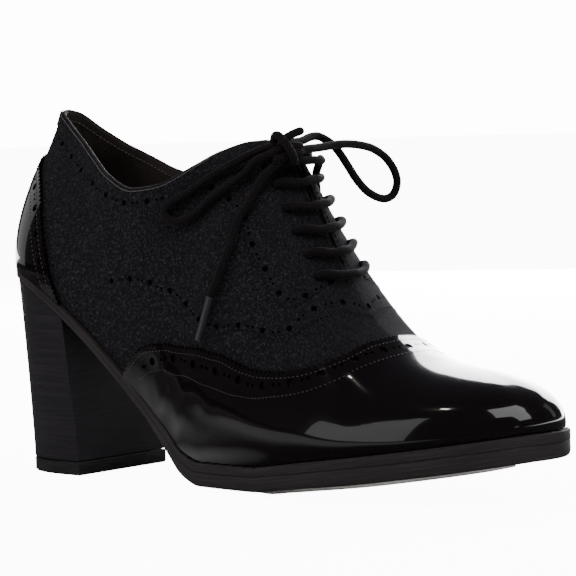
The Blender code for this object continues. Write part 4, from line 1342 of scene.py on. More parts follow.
class StitchRow(Repeater):
    """Lock stitches along a line: short rounded thread lengths lying end to end."""

    name = "stitch_row"

    def build(self, tree: Tree) -> None:
        """Resample the line, and lay a stretched ball along it at each point.

        Args:
            tree: The tree to fill.
        """
        s, start, end = open_tree(tree, {"Pitch": 0.0018, "Length": 0.0013, "Thickness": 0.00042,
                                         "Material": "Material"}, {})
        line = s.node("GeometryNodeMeshToCurve", in_0=start.outputs["Geometry"])
        spaced = s.node("GeometryNodeResampleCurve", mode="LENGTH", Curve=line.outputs[0],
                        Length=start.outputs["Pitch"])
        ball = s.node("GeometryNodeMeshUVSphere", Segments=8, Rings=6, Radius=0.5)
        tangent = s.node("GeometryNodeInputTangent")
        turn = s.node("FunctionNodeAlignRotationToVector", axis="Z", Vector=tangent.outputs[0])
        thick = start.outputs["Thickness"]
        size = s.node("ShaderNodeCombineXYZ", in_0=thick, in_1=thick, in_2=start.outputs["Length"])
        laid = self.lay(s, spaced.outputs[0], ball.outputs["Mesh"], turn.outputs[0], size.outputs[0])
        smooth = s.node("GeometryNodeSetShadeSmooth", in_0=laid)
        self.finish(s, smooth.outputs[0], start, end)


class Punch(Repeater):
    """Round holes through a wall, at points that carry their direction and radius."""

    name = "punch"

    def build(self, tree: Tree) -> None:
        """Stand a cylinder on each point of the other object and cut them all out.

        Args:
            tree: The tree to fill.
        """
        s, start, end = open_tree(tree, {"Places": "Object", "Depth": 0.004, "Sides": 16,
                                         "Material": "Material"}, {})
        places = s.node("GeometryNodeObjectInfo", Object=start.outputs["Places"])
        drum = s.node("GeometryNodeMeshCylinder", Vertices=start.outputs["Sides"], Radius=1.0,
                      Depth=start.outputs["Depth"])
        way = self.named(s, "way", "FLOAT_VECTOR")
        radius = self.named(s, "radius", "FLOAT")
        turn = s.node("FunctionNodeAlignRotationToVector", axis="Z", Vector=way)
        size = s.node("ShaderNodeCombineXYZ", in_0=radius, in_1=radius, in_2=1.0)
        laid = self.lay(s, places.outputs["Geometry"], drum.outputs["Mesh"], turn.outputs[0],
                        size.outputs[0])
        cut = s.node("GeometryNodeMeshBoolean", operation="DIFFERENCE", solver="MANIFOLD",
                     in_0=start.outputs["Geometry"], in_1=laid)
        self.finish(s, cut.outputs[0], start, end)


class Fuzz(Repeater):
    """Loose fibres that stand out of a felt."""

    name = "fuzz"
    bends = ((0, 0, -0.1), (0.25, 0.0, 0.18), (0.65, 0.15, 0.25), (1.0, 0.3, 0.12))

    def build(self, tree: Tree) -> None:
        """Scatter points where the felt shows, and lay a bent fibre on each.

        Args:
            tree: The tree to fill.
        """
        s, start, end = open_tree(tree, {"Density": 400000.0, "Length": 0.0012, "Thickness": 0.00003,
                                         "Seed": 7, "Material": "Material"}, {})
        density = s.math("MULTIPLY", self.named(s, "bare", "FLOAT"), start.outputs["Density"])
        scatter = s.node("GeometryNodeDistributePointsOnFaces", distribute_method="RANDOM",
                         Mesh=start.outputs["Geometry"], Density=density, Seed=start.outputs["Seed"])
        bends = {f"in_{i + 1}": bend for i, bend in enumerate(self.bends)}
        strand = s.node("GeometryNodeCurvePrimitiveBezierSegment", Resolution=4, **bends)
        thin = s.math("DIVIDE", start.outputs["Thickness"], start.outputs["Length"])
        section = s.node("GeometryNodeCurvePrimitiveCircle", Resolution=3, Radius=thin)
        body = s.node("GeometryNodeCurveToMesh", Curve=strand.outputs[0],
                      Profile_Curve=section.outputs[0], Fill_Caps=True)
        spin = s.node("FunctionNodeRandomValue", data_type="FLOAT_VECTOR", in_0=(-0.5, -0.5, 0.0),
                      in_1=(0.5, 0.5, 6.283), Seed=3)
        euler = s.node("FunctionNodeEulerToRotation", in_0=spin.outputs[0])
        turn = s.node("FunctionNodeRotateRotation", rotation_space="LOCAL",
                      in_0=scatter.outputs["Rotation"], in_1=euler.outputs[0])
        size = s.node("FunctionNodeRandomValue", data_type="FLOAT", in_2=0.4, in_3=1.3, Seed=5)
        scale = s.math("MULTIPLY", size.outputs[1], start.outputs["Length"])
        laid = self.lay(s, scatter.outputs["Points"], body.outputs[0], turn.outputs[0], scale)
        self.finish(s, laid, start, end)


STITCHES, PUNCH, FUZZ = StitchRow(), Punch(), Fuzz()


@dataclass(frozen=True)
class Seam:
    """A kind of stitching.

    Attributes:
        thread: Finish of the thread.
        pitch: Distance from stitch to stitch.
        length: Length of one.
        thickness: Thickness of the thread.
    """

    thread: Finish
    pitch: float = 0.0019
    length: float = 0.0014
    thickness: float = 0.00045

    def sew(self, name: str, route: Array) -> Piece:
        """A row of stitches along a route, fixed to the shoe.

        Args:
            name: Name of the row.
            route: Points of the line.

        Returns:
            The stitches.
        """
        edges = [(i, i + 1) for i in range(len(route) - 1)]
        line = show(name + "_line", plain_mesh(name + "_line", route, edges))
        made = STITCHES.run(line, name, self.thread, Pitch=self.pitch, Length=self.length,
                            Thickness=self.thickness)
        return settle(made, self.thread)


FELT_SEAM = Seam(THREAD_DARK)
EDGE_SEAM = Seam(THREAD_DARK, pitch=0.0020)
PATENT_SEAM = Seam(THREAD_PALE, 0.0018, 0.0009, 0.00036)
# the collar's continuous pale stitch line paints the highlight caught along its turned-in edge
COLLAR_HIGHLIGHT_SEAM = Seam(PALE_THREAD_EDGE_HIGHLIGHT, 0.0011, 0.0011, 0.00034)
LINING_SEAM = Seam(PALE_THREAD_EDGE_HIGHLIGHT, 0.0017, 0.0013, 0.00034)
WELT_MARKS = Seam(THREAD_DARK, 0.0052, 0.0022, 0.00075)


@dataclass
class HoleSet:
    """Places of punched holes on the upper, gathered line by line."""

    lift: float = 0.0
    spots: list[Array] = field(default_factory=list)
    ways: list[Array] = field(default_factory=list)
    radii: list[float] = field(default_factory=list)

    def add(self, turn: float, up: float, radius: float) -> None:
        """One hole at a turn and an up.

        Args:
            turn: Turn of each point.
            up: Share of the wall's height.
            radius: Its radius.
        """
        self.spots.append(LAST.point(np.array(turn), np.array(up), self.lift))
        self.ways.append(LAST.out(np.array(turn), np.array(up)))
        self.radii.append(radius)

    def row(self, turn: Array, up: Array, pitch: float, big: float, small: float,
            spread: float = 0.0) -> None:
        """Big holes at an even pitch along a line, with small ones between them.

        Args:
            turn: Turns along the line.
            up: Ups along the line.
            pitch: Distance between big holes.
            big: Radius of a big hole.
            small: Radius of a small one.
            spread: Share of the pitch between the two small ones of a pair, or 0 for one alone.
        """
        turns, ups = even(turn, up, pitch / 4.0)
        middle = len(turns) // 2 % 4
        for i in range(len(turns)):
            place = (i - middle) % 4
            if place == 0:
                self.add(turns[i], ups[i], big)
            elif place == 2 and not spread:
                self.add(turns[i], ups[i], small)
            elif place == 2:
                for step in (-spread, spread):
                    j = min(max(i + step * 4.0, 0.0), len(turns) - 1.0)
                    spot = np.interp(j, np.arange(len(turns)), turns)
                    self.add(float(spot), float(np.interp(j, np.arange(len(ups)), ups)), small)

    def object(self, name: str) -> Piece:
        """The places as points that carry their direction and radius.

        Args:
            name: Its name.

        Returns:
            The object.
        """
        mesh = plain_mesh(name, self.spots)
        way = mesh.attributes.new("way", "FLOAT_VECTOR", "POINT")
        way.data.foreach_set("vector", np.array(self.ways, np.float32).ravel())
        radius = mesh.attributes.new("radius", "FLOAT", "POINT")
        radius.data.foreach_set("value", np.array(self.radii, np.float32))
        return show(name, mesh)

    def cut(self, piece: Piece, finish: Finish, depth: float, sides: int = 16) -> Piece:
        """Punch the holes through a piece.

        Args:
            piece: The wall to cut; it is replaced.
            finish: Its finish.
            depth: Length of the punch, in metres.
            sides: Corners of a hole.

        Returns:
            The cut piece.
        """
        name = piece.name
        piece.name = name + "_uncut"
        places = self.object(name + "_places")
        made = PUNCH.run(piece, name, finish, Places=places, Depth=depth, Sides=sides)
        bpy.data.objects.remove(places)
        made.data.shade_smooth()
        made.data.set_sharp_from_angle(angle=math.radians(38))
        return made


@dataclass
class Upper:
    """The felt upper with its lining, collar, tongue and fuzz."""

    wall_thickness: float = 0.0020
    felt_thickness: float = 0.0010
    stations: int = 150
    rows: int = 34
    eyelet_radius: float = 0.0019
    eyelet_pitch: float = 0.00950
    eyelet_first: float = 0.0018
    eyelet_count: int = 6
    from_edge_top: float = 0.0112
    from_edge_end: float = 0.0145
    brogue_hole: float = 0.00120
    brogue_small: float = 0.00055
    tongue_tooth: float = 0.0007
    fuzz_density: float = 170000.0
    fuzz_length: float = 0.0013

    def shares(self) -> Array:
        """Shares of the way round of the columns, with one on each of the main corners.

        Returns:
            The shares.
        """
        shares = np.linspace(0.0, 1.0, self.stations + 1)
        for wanted in (LAST.corner_round, LAST.throat_end):
            shares[np.argmin(np.abs(shares - wanted))] = wanted
        return shares

    def layer(self, name: str, high: float, low: float, finish: Finish) -> Piece:
        """One layer of the upper as a closed wall.

        Args:
            name: Name of the piece.
            high: Height of its outer face above the lasted face.
            low: Height of its inner face.
            finish: Its finish.

        Returns:
            The layer.
        """
        shares = self.shares()
        turns = np.concatenate([shares / 2.0, 1.0 - shares[-2:0:-1] / 2.0])
        limit = LAST.throat_up(turns)
        up = limit[:, None] * (1.0 - (1.0 - np.linspace(0.0, 1.0, self.rows)[None, :]) ** 1.15)
        turn = np.broadcast_to(turns[:, None], up.shape)
        outer, inner = LAST.point(turn, up, high), LAST.point(turn, up, low)
        stand(outer)
        stand(inner)
        weld = {}
        count = len(turns)
        for c in range(count // 2 + 1, count):
            if 2.0 - 2.0 * turns[c] >= LAST.throat_end - 1e-9:
                weld[c] = count - c
                for grid in (outer, inner):
                    grid[count - c, -1] = (grid[c, -1] + grid[count - c, -1]) / 2.0
        return wall(name, outer, inner, finish, closed=True, weld=weld)

    def eyelet_rounds(self) -> Array:
        """Share of the way round of each pair of eyelets.

        Returns:
            The shares.
        """
        shares = np.linspace(LAST.corner_round, LAST.throat_end, 401)
        x, z = LAST.centre_x(shares), LAST.centre_z(shares)
        walked = np.concatenate([[0.0], np.cumsum(np.hypot(np.diff(x), np.diff(z)))])
        wanted = self.eyelet_first + self.eyelet_pitch * np.arange(self.eyelet_count)
        return np.interp(wanted, walked, shares)

    def eyelet(self, share_round: float, side: Side) -> tuple[float, float]:
        """Turn and up of an eyelet, measured along the wall from the facing's edge.

        Args:
            share_round: Its share of the way round.
            side: Its side.

        Returns:
            Turn and up.
        """
        turn = float(LAST.turn(share_round, side))
        run = (share_round - LAST.corner_round) / (LAST.throat_end - LAST.corner_round)
        wanted = self.from_edge_top + (self.from_edge_end - self.from_edge_top) * run
        limit = float(LAST.throat_up(np.array([turn]))[0])
        ups = np.arange(limit, 0.3, -0.002)
        spots = LAST.shell(np.full(len(ups), turn), ups)
        walked = distances(spots)
        return turn, float(np.interp(wanted, walked, ups))

    def holes(self) -> HoleSet:
        """Every hole punched through the felt: the eyelets and the brogue lines.

        Returns:
            The holes.
        """
        holes = HoleSet()
        for share_round in self.eyelet_rounds():
            for side in Side:
                turn, up = self.eyelet(float(share_round), side)
                holes.add(turn, up, self.eyelet_radius)
        for side in Side:
            for trail, pitch in ((QUARTER_HOLES, 0.0115), (QUARTER_ARC, 0.0098), (TOPLINE_HOLES, 0.0112),
                                 (FACING_HOLES, 0.0112)):
                turn, up = trail.dense(side)
                keep = up < LAST.throat_up(turn) - 0.03
                if trail is QUARTER_HOLES:
                    keep = up < 0.97
                holes.row(turn[keep], up[keep], pitch, self.brogue_hole, self.brogue_small, 0.10)
        return holes

    def build(self) -> None:
        """Make and dress every layer."""
        felt = self.layer("upper_felt", 0.0, -self.felt_thickness, FELT)
        felt = self.holes().cut(felt, FELT, 0.0032, 12)
        self.mark_bare(felt)
        fuzz_base = felt.copy()
        fuzz_base.data = felt.data.copy()
        bpy.context.scene.collection.objects.link(fuzz_base)
        settle(felt, FELT, "upper")
        fuzz = FUZZ.run(fuzz_base, "felt_fuzz", FIBRE, Density=self.fuzz_density, Length=self.fuzz_length)
        settle(fuzz, FIBRE)
        # a near-black sheet just under the felt: painted shade seen through the punched holes
        deep = -self.felt_thickness - 0.00005
        settle(self.layer("felt_backing", deep, deep - 0.00015, HOLE_SHADE_BACKING), HOLE_SHADE_BACKING)
        lining = self.layer("upper_lining", deep - 0.0002, -self.wall_thickness, LINING)
        settle(lining, LINING)
        self.collar()
        self.tongue()
        self.insole()
        self.seams()

    def mark_bare(self, felt: Piece) -> None:
        """Note on the felt where fibres may stand: outside, and clear of the patent pieces.

        Args:
            felt: The felt layer.
        """
        mesh = felt.data
        count = len(mesh.vertices)
        spots = np.zeros(count * 3, np.float32)
        mesh.vertices.foreach_get("co", spots)
        spots = spots.reshape(-1, 3)
        shares = np.linspace(0.0, 1.0, 61)
        turns = np.concatenate([shares / 2.0, 1.0 - shares[-2:0:-1] / 2.0])
        ups = np.linspace(0.0, 1.0, 40)
        turn, up = np.meshgrid(turns, ups, indexing="ij")
        grid = LAST.shell(turn, up).reshape(-1, 3)
        way = LAST.normal(turn, up).reshape(-1, 3)
        turn, up = turn.ravel(), up.ravel()
        bare = np.zeros(count, np.float32)
        wing_limit = self.limit_of(WING_EDGE)
        counter_limit = self.limit_of(COUNTER_EDGE)
        first, last = WING_EDGE.places[0][0], WING_EDGE.places[-1][0]
        counter_end = COUNTER_EDGE.places[-1][0]
        for start in range(0, count, 2000):
            part = spots[start:start + 2000]
            near = np.argmin(((part[:, None, :] - grid[None, :, :]) ** 2).sum(-1), axis=1)
            depth = ((part - grid[near]) * way[near]).sum(-1)
            share_round = LAST.split(turn[near])[1]
            wing = wing_limit(np.clip(share_round, first, last))
            wing = np.where(share_round > last, 1.1, np.where(share_round < first, 0.0, wing))
            counter = counter_limit(np.clip(share_round, 0, counter_end))
            counter = np.where(share_round > counter_end, 0.0, counter)
            clear = (up[near] > wing + 0.02) & (up[near] > counter + 0.02)
            bare[start:start + 2000] = (clear & (depth > -0.0004)).astype(np.float32)
        layer = mesh.attributes.new("bare", "FLOAT", "POINT")
        layer.data.foreach_set("value", bare)

    def limit_of(self, trail: Trail) -> Profile:
        """A trail as the up that it has at each round."""
        return Profile([p[0] for p in trail.places], [p[1] for p in trail.places])

    def rim(self, side: Side, lift: float, below: float = 0.0) -> Array:
        """Points along the collar's edge from the back seam to the facing's corner.

        Args:
            side: Side of the shoe.
            lift: Height above the lasted face.
            below: Share of the wall's height below the edge.

        Returns:
            The points.
        """
        shares = np.linspace(0.0, LAST.corner_round - 0.002, 120)
        turn = LAST.turn(shares, side)
        return LAST.point(turn, LAST.throat_up(turn) - below, lift)

    def collar_line(self, lift: float, below: float = 0.0) -> Array:
        """Points along the whole collar, from the inner corner over the back to the outer one."""
        inner, outer = (self.rim(side, lift, below) for side in (Side.INNER, Side.OUTER))
        return np.concatenate([inner[::-1], outer[1:]])

    def collar(self) -> None:
        """The binding round the collar's edge, and a pale stitch line that paints the highlight caught by
        its turned-in edge.
        """
        route = smooth_route(self.collar_line(-0.0010)[::3], 0.0016)
        settle(tube("collar_binding", route, 0.00070, BINDING, sides=10), BINDING)
        # painted highlight: a continuous pale stitch line just under the collar's edge
        COLLAR_HIGHLIGHT_SEAM.sew("collar_edge_stitches", smooth_route(self.collar_line(0.00005, 0.010)[::3], 0.0010))
        LINING_SEAM.sew("lining_stitches", smooth_route(self.collar_line(-0.0021, 0.055)[::3], 0.0012))

    def tongue(self) -> None:
        """The tongue under the lace, with a pinked top edge."""
        start = LAST.throat_end + 0.015
        below = np.linspace(start, LAST.corner_round, 40)
        above = np.linspace(LAST.corner_round, 0.478, 9)[1:]
        rounds = np.concatenate([below, above])
        outer, inner = [], []
        across = 25
        for i, share_round in enumerate(rounds):
            run = i / (len(rounds) - 1)
            half = 0.012 + 0.006 * run
            rise = 0.0050 * max(i - len(below) + 1, 0) / 8.0
            notch = max(float(TOP["outer"](share_round)) * LAST.ball_width, LAST.throat_gap_top / 2.0)
            widths = np.linspace(-half, half, across)
            turn = np.where(widths < 0, share_round / 2.0, 1.0 - share_round / 2.0)
            up = LAST.up_at_width(turn, np.abs(widths))
            spot = LAST.shell(turn, up)
            way = LAST.normal(turn, np.minimum(up, 0.985))
            middle = across // 2
            way[middle] = LAST.ridge_normal(np.array(share_round))
            spot[middle] = (spot[middle - 1] + spot[middle + 1]) / 2.0
            lift = np.zeros((across, 3))
            lift[:, 2] = rise * np.maximum(1.0 - (widths / notch) ** 2, 0.0)
            gap = self.wall_thickness + 0.0008
            tooth = self.tongue_tooth if i == len(rounds) - 1 else 0.0
            pinked = np.zeros((across, 3))
            pinked[:, 0] = -tooth * (np.arange(across) % 2)
            outer.append(spot - way * gap + lift + pinked)
            inner.append(spot - way * (gap + 0.0020) + lift + pinked)
        piece = wall("tongue_felt", np.array(outer), np.array(inner), FELT)
        settle(piece, FELT, "tongue")
        top_row = np.array(outer[-3])[2:-2]
        EDGE_SEAM.sew("tongue_stitches", smooth_route(top_row, 0.0012))

    def insole(self) -> None:
        """The sock on the insole."""
        turns = np.arange(240) / 240.0
        rings = []
        for rise, inset in ((0.0023, 0.0041), (0.0021, 0.0036), (0.0017, 0.0034), (0.0003, 0.0032)):
            ring = LAST.outline(turns) - LAST.outline_normal(turns) * inset
            ring[:, 2] = LAST.bed_height(ring[:, 0]) + rise
            rings.append(ring)
        settle(plate("insole_sock", rings, SOCK), SOCK, "insole")

    def seams(self) -> None:
        """Stitch rows in the felt: beside the quarter's edge and round the facings."""
        for side in Side:
            word = side.name.lower()
            turn, up = QUARTER_EDGE.dense(side)
            above = np.minimum(up + 0.012, 1.0)
            FELT_SEAM.sew(f"quarter_stitches_{word}", LAST.point(turn, above, 0.0001)[::4])
            turn, up = FACING_HOLES.dense(side)
            FELT_SEAM.sew(f"facing_stitches_{word}", LAST.point(turn, up - 0.028, 0.0001)[::4])
            shares = np.linspace(LAST.corner_round + 0.004, LAST.throat_end - 0.004, 60)
            turn = LAST.turn(shares, side)
            ups = LAST.throat_up(turn) - 0.035
            EDGE_SEAM.sew(f"throat_stitches_{word}", LAST.point(turn, ups, 0.0001))


def bridged(rings: list[Array], first: int, rising: bool) -> list[list[int]]:
    """Faces between rings of points, and rungs from side to side that close both end rings.

    Args:
        rings: The rings.
        first: 0 where a ring's first point lies on the middle line, 1 where its last is opposite it.
        rising: Whether the rings go up.

    Returns:
        The faces.
    """
    count = len(rings[0])
    faces = []
    for k in range(len(rings) - 1):
        a, b = k * count, (k + 1) * count
        for i in range(count):
            j = (i + 1) % count
            faces.append([a + i, a + j, b + j, b + i] if rising else [a + i, b + i, b + j, a + j])
    for k, flip in ((0, rising), (len(rings) - 1, not rising)):
        start = k * count
        for i in range(count // 2):
            other = count - first - i
            face = unrepeated([start + i, start + i + 1, start + other - 1, start + other % count])
            if len(face) > 2:
                faces.append(face[::-1] if flip else face)
    return faces


def plate(name: str, rings: list[Array], finish: Finish, uv_along: bool = False) -> Piece:
    """A plate along the foot from rings of edge points, bridged by rungs from side to side.

    Args:
        name: Name of the piece.
        rings: Rings of points from top to bottom, each starting at the heel's back.
        finish: Its finish.
        uv_along: Whether it gets a map in metres, along its edge and down it.

    Returns:
        The piece.
    """
    uv = None
    if uv_along:
        walked = distances(rings[len(rings) // 2])
        depths = [np.linalg.norm(ring - rings[0], axis=1) for ring in rings]
        uv = np.concatenate([np.stack([walked, depth], -1) for depth in depths])
    return add_mesh(name, np.concatenate(rings), bridged(rings, 0, False), finish, 35.0, uv)


def toothed(turn: Array, up: Array, lift: float, depth: float) -> Array:
    """A pinked edge: every other point of an even line on the upper, pushed out across it.

    Args:
        turn: Turns of the points.
        up: Ups of the points.
        lift: Height above the lasted face.
        depth: Depth of a tooth.

    Returns:
        The points.
    """
    edge = LAST.point(turn, up, lift)
    across = unit(np.cross(LAST.out(turn, up), unit(np.gradient(edge, axis=0))))
    push = np.where(np.arange(len(turn)) % 2 == 0, -0.5, 0.5) * depth
    return edge + across * push[:, None]


@dataclass
class PatentPieces:
    """The wing toe cap, the heel counter and the back tab, with their stitches and holes."""

    gap: float = 0.0004
    thickness: float = 0.0011
    tooth_pitch: float = 0.0021
    tooth_depth: float = 0.0013
    rows: int = 26
    big_hole: float = 0.00150
    small_hole: float = 0.00062

    def ups(self, limit: Array) -> Array:
        """Rows of a column, closer together towards the edge.

        Args:
            limit: Up at which each column ends.

        Returns:
            Up of each row, by column and row.
        """
        share = np.linspace(0.0, 1.0, self.rows)
        share = np.concatenate([share[:-1] * 0.985, [1.0]])
        return limit[:, None] * share[None, :]

    def wing(self) -> Piece:
        """The wing cap: a wall from the sole to its pinked edge, closed over the toe.

        Returns:
            The piece.
        """
        turn_o, up_o = even(*WING_EDGE.dense(Side.OUTER, 900), self.tooth_pitch / 2.0)
        turn_i, up_i = even(*WING_EDGE.dense(Side.INNER, 900), self.tooth_pitch / 2.0)
        peak = len(turn_o) - 1
        beyond = np.linspace(WING_EDGE.places[-1][0], 1.0, 60)[1:]
        turns = np.concatenate([turn_o, beyond / 2.0, 1.0 - beyond[-2::-1] / 2.0, turn_i[::-1]])
        limit = np.concatenate([up_o, np.ones(2 * len(beyond) - 1), up_i[::-1]])
        up = self.ups(limit)
        turn = np.broadcast_to(turns[:, None], up.shape)
        grids = []
        for lift in (self.gap + self.thickness, self.gap):
            grid = LAST.point(turn, up, lift + self.waves(turn, up))
            grid[:peak + 1, -1] = toothed(turn_o, up_o, lift, self.tooth_depth)
            grid[-len(turn_i):, -1] = toothed(turn_i, up_i, lift, -self.tooth_depth)[::-1]
            stand(grid)
            grids.append(grid)
        tip = peak + len(beyond)
        weld = {}
        for step in range(1, len(beyond) + 1):
            c, other = tip + step, tip - step
            weld[c] = other
            for grid in grids:
                grid[other, -1] = (grid[c, -1] + grid[other, -1]) / 2.0
        return wall("wing_patent", grids[0], grids[1], PATENT, weld=weld)

    def waves(self, turn: Array, up: Array) -> Array:
        """Soft unevenness of the lasted patent: listed creases behind the ball and a slow wave.

        Args:
            turn: Turns of the points.
            up: Ups of the points.

        Returns:
            Heights in metres.
        """
        side, share_round = LAST.split(turn)
        height = 0.00006 * np.sin(share_round * 61.0 + up * 5.0 * side)
        height = height * np.sin(up * 9.0 + share_round * 23.0)
        creases = ((0.415, 0.10, 0.008, 0.10, -0.00022), (0.432, 0.13, 0.007, 0.11, 0.00020),
                   (0.447, 0.10, 0.008, 0.10, -0.00020), (0.462, 0.14, 0.009, 0.09, 0.00014),
                   (0.485, 0.09, 0.012, 0.08, -0.00012))
        for at_round, at_up, wide, tall, depth in creases:
            lean = share_round - at_round - 0.05 * (up - at_up)
            height = height + depth * np.exp(-(lean / wide) ** 2 - ((up - at_up) / tall) ** 2)
        return height * np.clip(up / 0.06, 0.0, 1.0) * np.clip((1.0 - up) / 0.05, 0.0, 1.0)

    def counter(self) -> Piece:
        """The heel counter with its pinked edge.

        Returns:
            The piece.
        """
        turns, limit = even(*COUNTER_EDGE.over_back(900), self.tooth_pitch / 2.0)
        rows = self.ups(limit)
        grid_turn = np.broadcast_to(turns[:, None], rows.shape)
        grids = []
        for lift in (self.gap + self.thickness, self.gap):
            grid = LAST.point(grid_turn, rows, lift)
            grid[:, -1] = toothed(turns, limit, lift, self.tooth_depth)
            stand(grid)
            grids.append(grid)
        return wall("counter_patent", grids[0], grids[1], PATENT)

    def tab(self) -> Piece:
        """The tab over the top of the back seam.

        Returns:
            The piece.
        """
        turns = np.linspace(-0.016, 0.016, 17)
        ups = np.linspace(0.90, 0.995, 13)
        turn, up = np.meshgrid(turns, ups, indexing="ij")
        swell = 0.0003 * (1.0 - (turn / 0.016) ** 4) * (1.0 - ((up - 0.9475) / 0.0475) ** 4)
        outer = LAST.point(turn, up, self.gap + self.thickness * 0.7 + swell)
        inner = LAST.point(turn, up, 0.0001 + 0.0 * turn)
        return wall("back_tab_patent", outer, inner, PATENT)

    def build(self) -> None:
        """Make, punch and stitch the patent pieces."""
        lift = self.gap + self.thickness
        wing = self.wing()
        holes = HoleSet(lift)
        holes.row(*WING_HOLES.across(), 0.0122, self.big_hole, self.small_hole, 0.10)
        wing = holes.cut(wing, PATENT, 0.0040, 20)
        settle(wing, PATENT, "wing_cap")
        counter = self.counter()
        holes = HoleSet(lift)
        holes.row(*COUNTER_HOLES.over_back(), 0.0110, self.big_hole, self.small_hole, 0.11)
        counter = holes.cut(counter, PATENT, 0.0040, 20)
        settle(counter, PATENT, "heel_counter")
        settle(self.tab(), PATENT, "back_tab")
        on_top = lift + 0.00004
        PATENT_SEAM.sew("wing_stitches_high", self.inset(WING_EDGE, 0.0021, on_top))
        PATENT_SEAM.sew("wing_stitches_low", LAST.point(*WING_STITCH_LOW.across(), on_top)[::3])
        PATENT_SEAM.sew("counter_stitches_high", self.inset(COUNTER_EDGE, 0.0021, on_top, True))
        PATENT_SEAM.sew("counter_stitches_low", LAST.point(*COUNTER_STITCH_LOW.over_back(), on_top)[::3])

    def inset(self, trail: Trail, distance: float, lift: float, over_back: bool = False) -> Array:
        """A line a distance inside a piece's edge.

        Args:
            trail: The edge.
            distance: How far inside, in metres.
            lift: Height above the lasted face.
            over_back: Whether it runs over the heel's back and not over the ridge.

        Returns:
            Its points.
        """
        line = trail.over_back(500) if over_back else trail.across(500)
        turn, up = even(*line, 0.0012, 0.003)
        edge = LAST.point(turn, up, lift)
        across = unit(np.cross(LAST.out(turn, up), unit(np.gradient(edge, axis=0))))
        return edge - across * distance


@dataclass
class SoleUnit:
    """Welt, outsole and grip pad."""

    turns: int = 420
    midsole_share: float = 0.38
    layer_step: float = 0.00006
    thickness: Profile = field(default_factory=lambda: Profile(
        [0.0, 0.16, 0.32, 0.40, 0.475, 0.585, 0.80, 1.0],
        [0.0036, 0.0048, 0.0064, 0.0090, 0.0089, 0.0089, 0.0096, 0.0096]))
    ledge: Profile = field(default_factory=lambda: Profile(
        [0.0, 0.20, 0.36, 0.50, 1.0], [0.0012, 0.0016, 0.0016, 0.0032, 0.0032]))

    def edge(self, turns: Array, out: float, drop_share: float, below: float) -> Array:
        """Points of a layer's edge.

        Args:
            turns: Turns of the points.
            out: Metres past the ledge.
            drop_share: Share of the sole's thickness down.
            below: Metres further down.

        Returns:
            The points.
        """
        share = LAST.along(LAST.split(turns)[1])
        spot = LAST.outline(turns) + LAST.outline_normal(turns) * (self.ledge(share) + out)[:, None]
        spot[:, 2] = LAST.bed_height(spot[:, 0]) - drop_share * self.thickness(share) - below
        return spot

    def build(self) -> None:
        """Make and dress the sole."""
        turns = np.arange(self.turns) / self.turns
        m, step = self.midsole_share, self.layer_step
        rows = ((-0.0012, 0.0, 0.0), (-0.0005, 0.0, 0.00004), (-0.00012, 0.0, 0.0003), (0.0, 0.0, 0.0008),
                (0.00004, 0.5 * m, 0.0), (0.0, m, -0.00025), (-0.00006, m, -0.00008), (-0.0003, m, 0.0),
                (-0.0014, m, 0.0))
        piece = plate("welt", [self.edge(turns, *row) for row in rows], SOLE_EDGE, True)
        settle(piece, SOLE_EDGE, "midsole")
        rows = ((-0.0014, m, 0.00006), (-0.0003, m, 0.00006), (-0.00006, m, 0.00014), (0.0, m, 0.0003),
                (0.00004, (1 + m) / 2, 0.0), (0.0, 1.0, -0.0016), (-0.0003, 1.0, -0.0007),
                (-0.0009, 1.0, -0.00015), (-0.0018, 1.0, 0.0))
        rings = [self.edge(turns, row[0] - step, row[1], row[2]) for row in rows]
        settle(plate("outsole_leather", rings, SOLE_EDGE, True), SOLE_EDGE, "outsole")
        self.welt_marks()
        self.grip()

    def welt_marks(self) -> None:
        """Wheeled marks along the top of the welt."""
        shares = np.linspace(0.40, 1.0, 200)
        turns = np.concatenate([shares / 2.0, 1.0 - shares[-2::-1] / 2.0])
        line = self.edge(turns, -0.0009, 0.0, 0.00004)
        WELT_MARKS.sew("welt_marks", line)

    def grip(self) -> None:
        """The ribbed grip pad under the forefoot."""
        first, last, ribs = 0.455, 0.925, 150
        steps = 2 * ribs
        outer, inner = [], []
        for i in range(2, steps - 1):
            run = (1.0 - math.cos(math.pi * i / steps)) / 2.0
            share = np.array(first + (last - first) * run)
            close = max(4.0 * run * (1.0 - run), 0.0) ** 0.28
            bottom = float(LAST.foot_height(share) - self.thickness(share))
            low = max(bottom - 0.0003 - 0.0014, 0.0) + (0.0003 if i % 2 else 0.0)
            high = bottom - 0.0003
            lateral = float(LAST.half_width(share, np.array(-1.0))) + 0.0055
            medial = float(LAST.half_width(share, np.array(1.0))) - 0.0055
            middle = (lateral + medial) / 2.0
            x = float(share) * LAST.length - LAST.heel_centre
            ys = middle + (np.array([lateral, lateral, middle, medial, medial]) - middle) * close
            ys[0] += 0.0003
            ys[-1] -= 0.0003
            lows = np.array([low + 0.0003, low, low, low, low + 0.0003])
            outer.append(np.stack([np.full(5, x), ys, lows], -1))
            inner.append(np.stack([np.full(5, x), ys, np.full(5, high)], -1))
        piece = wall("grip_pad", np.array(outer), np.array(inner), GRIP)
        settle(piece, GRIP, "forefoot_grip")


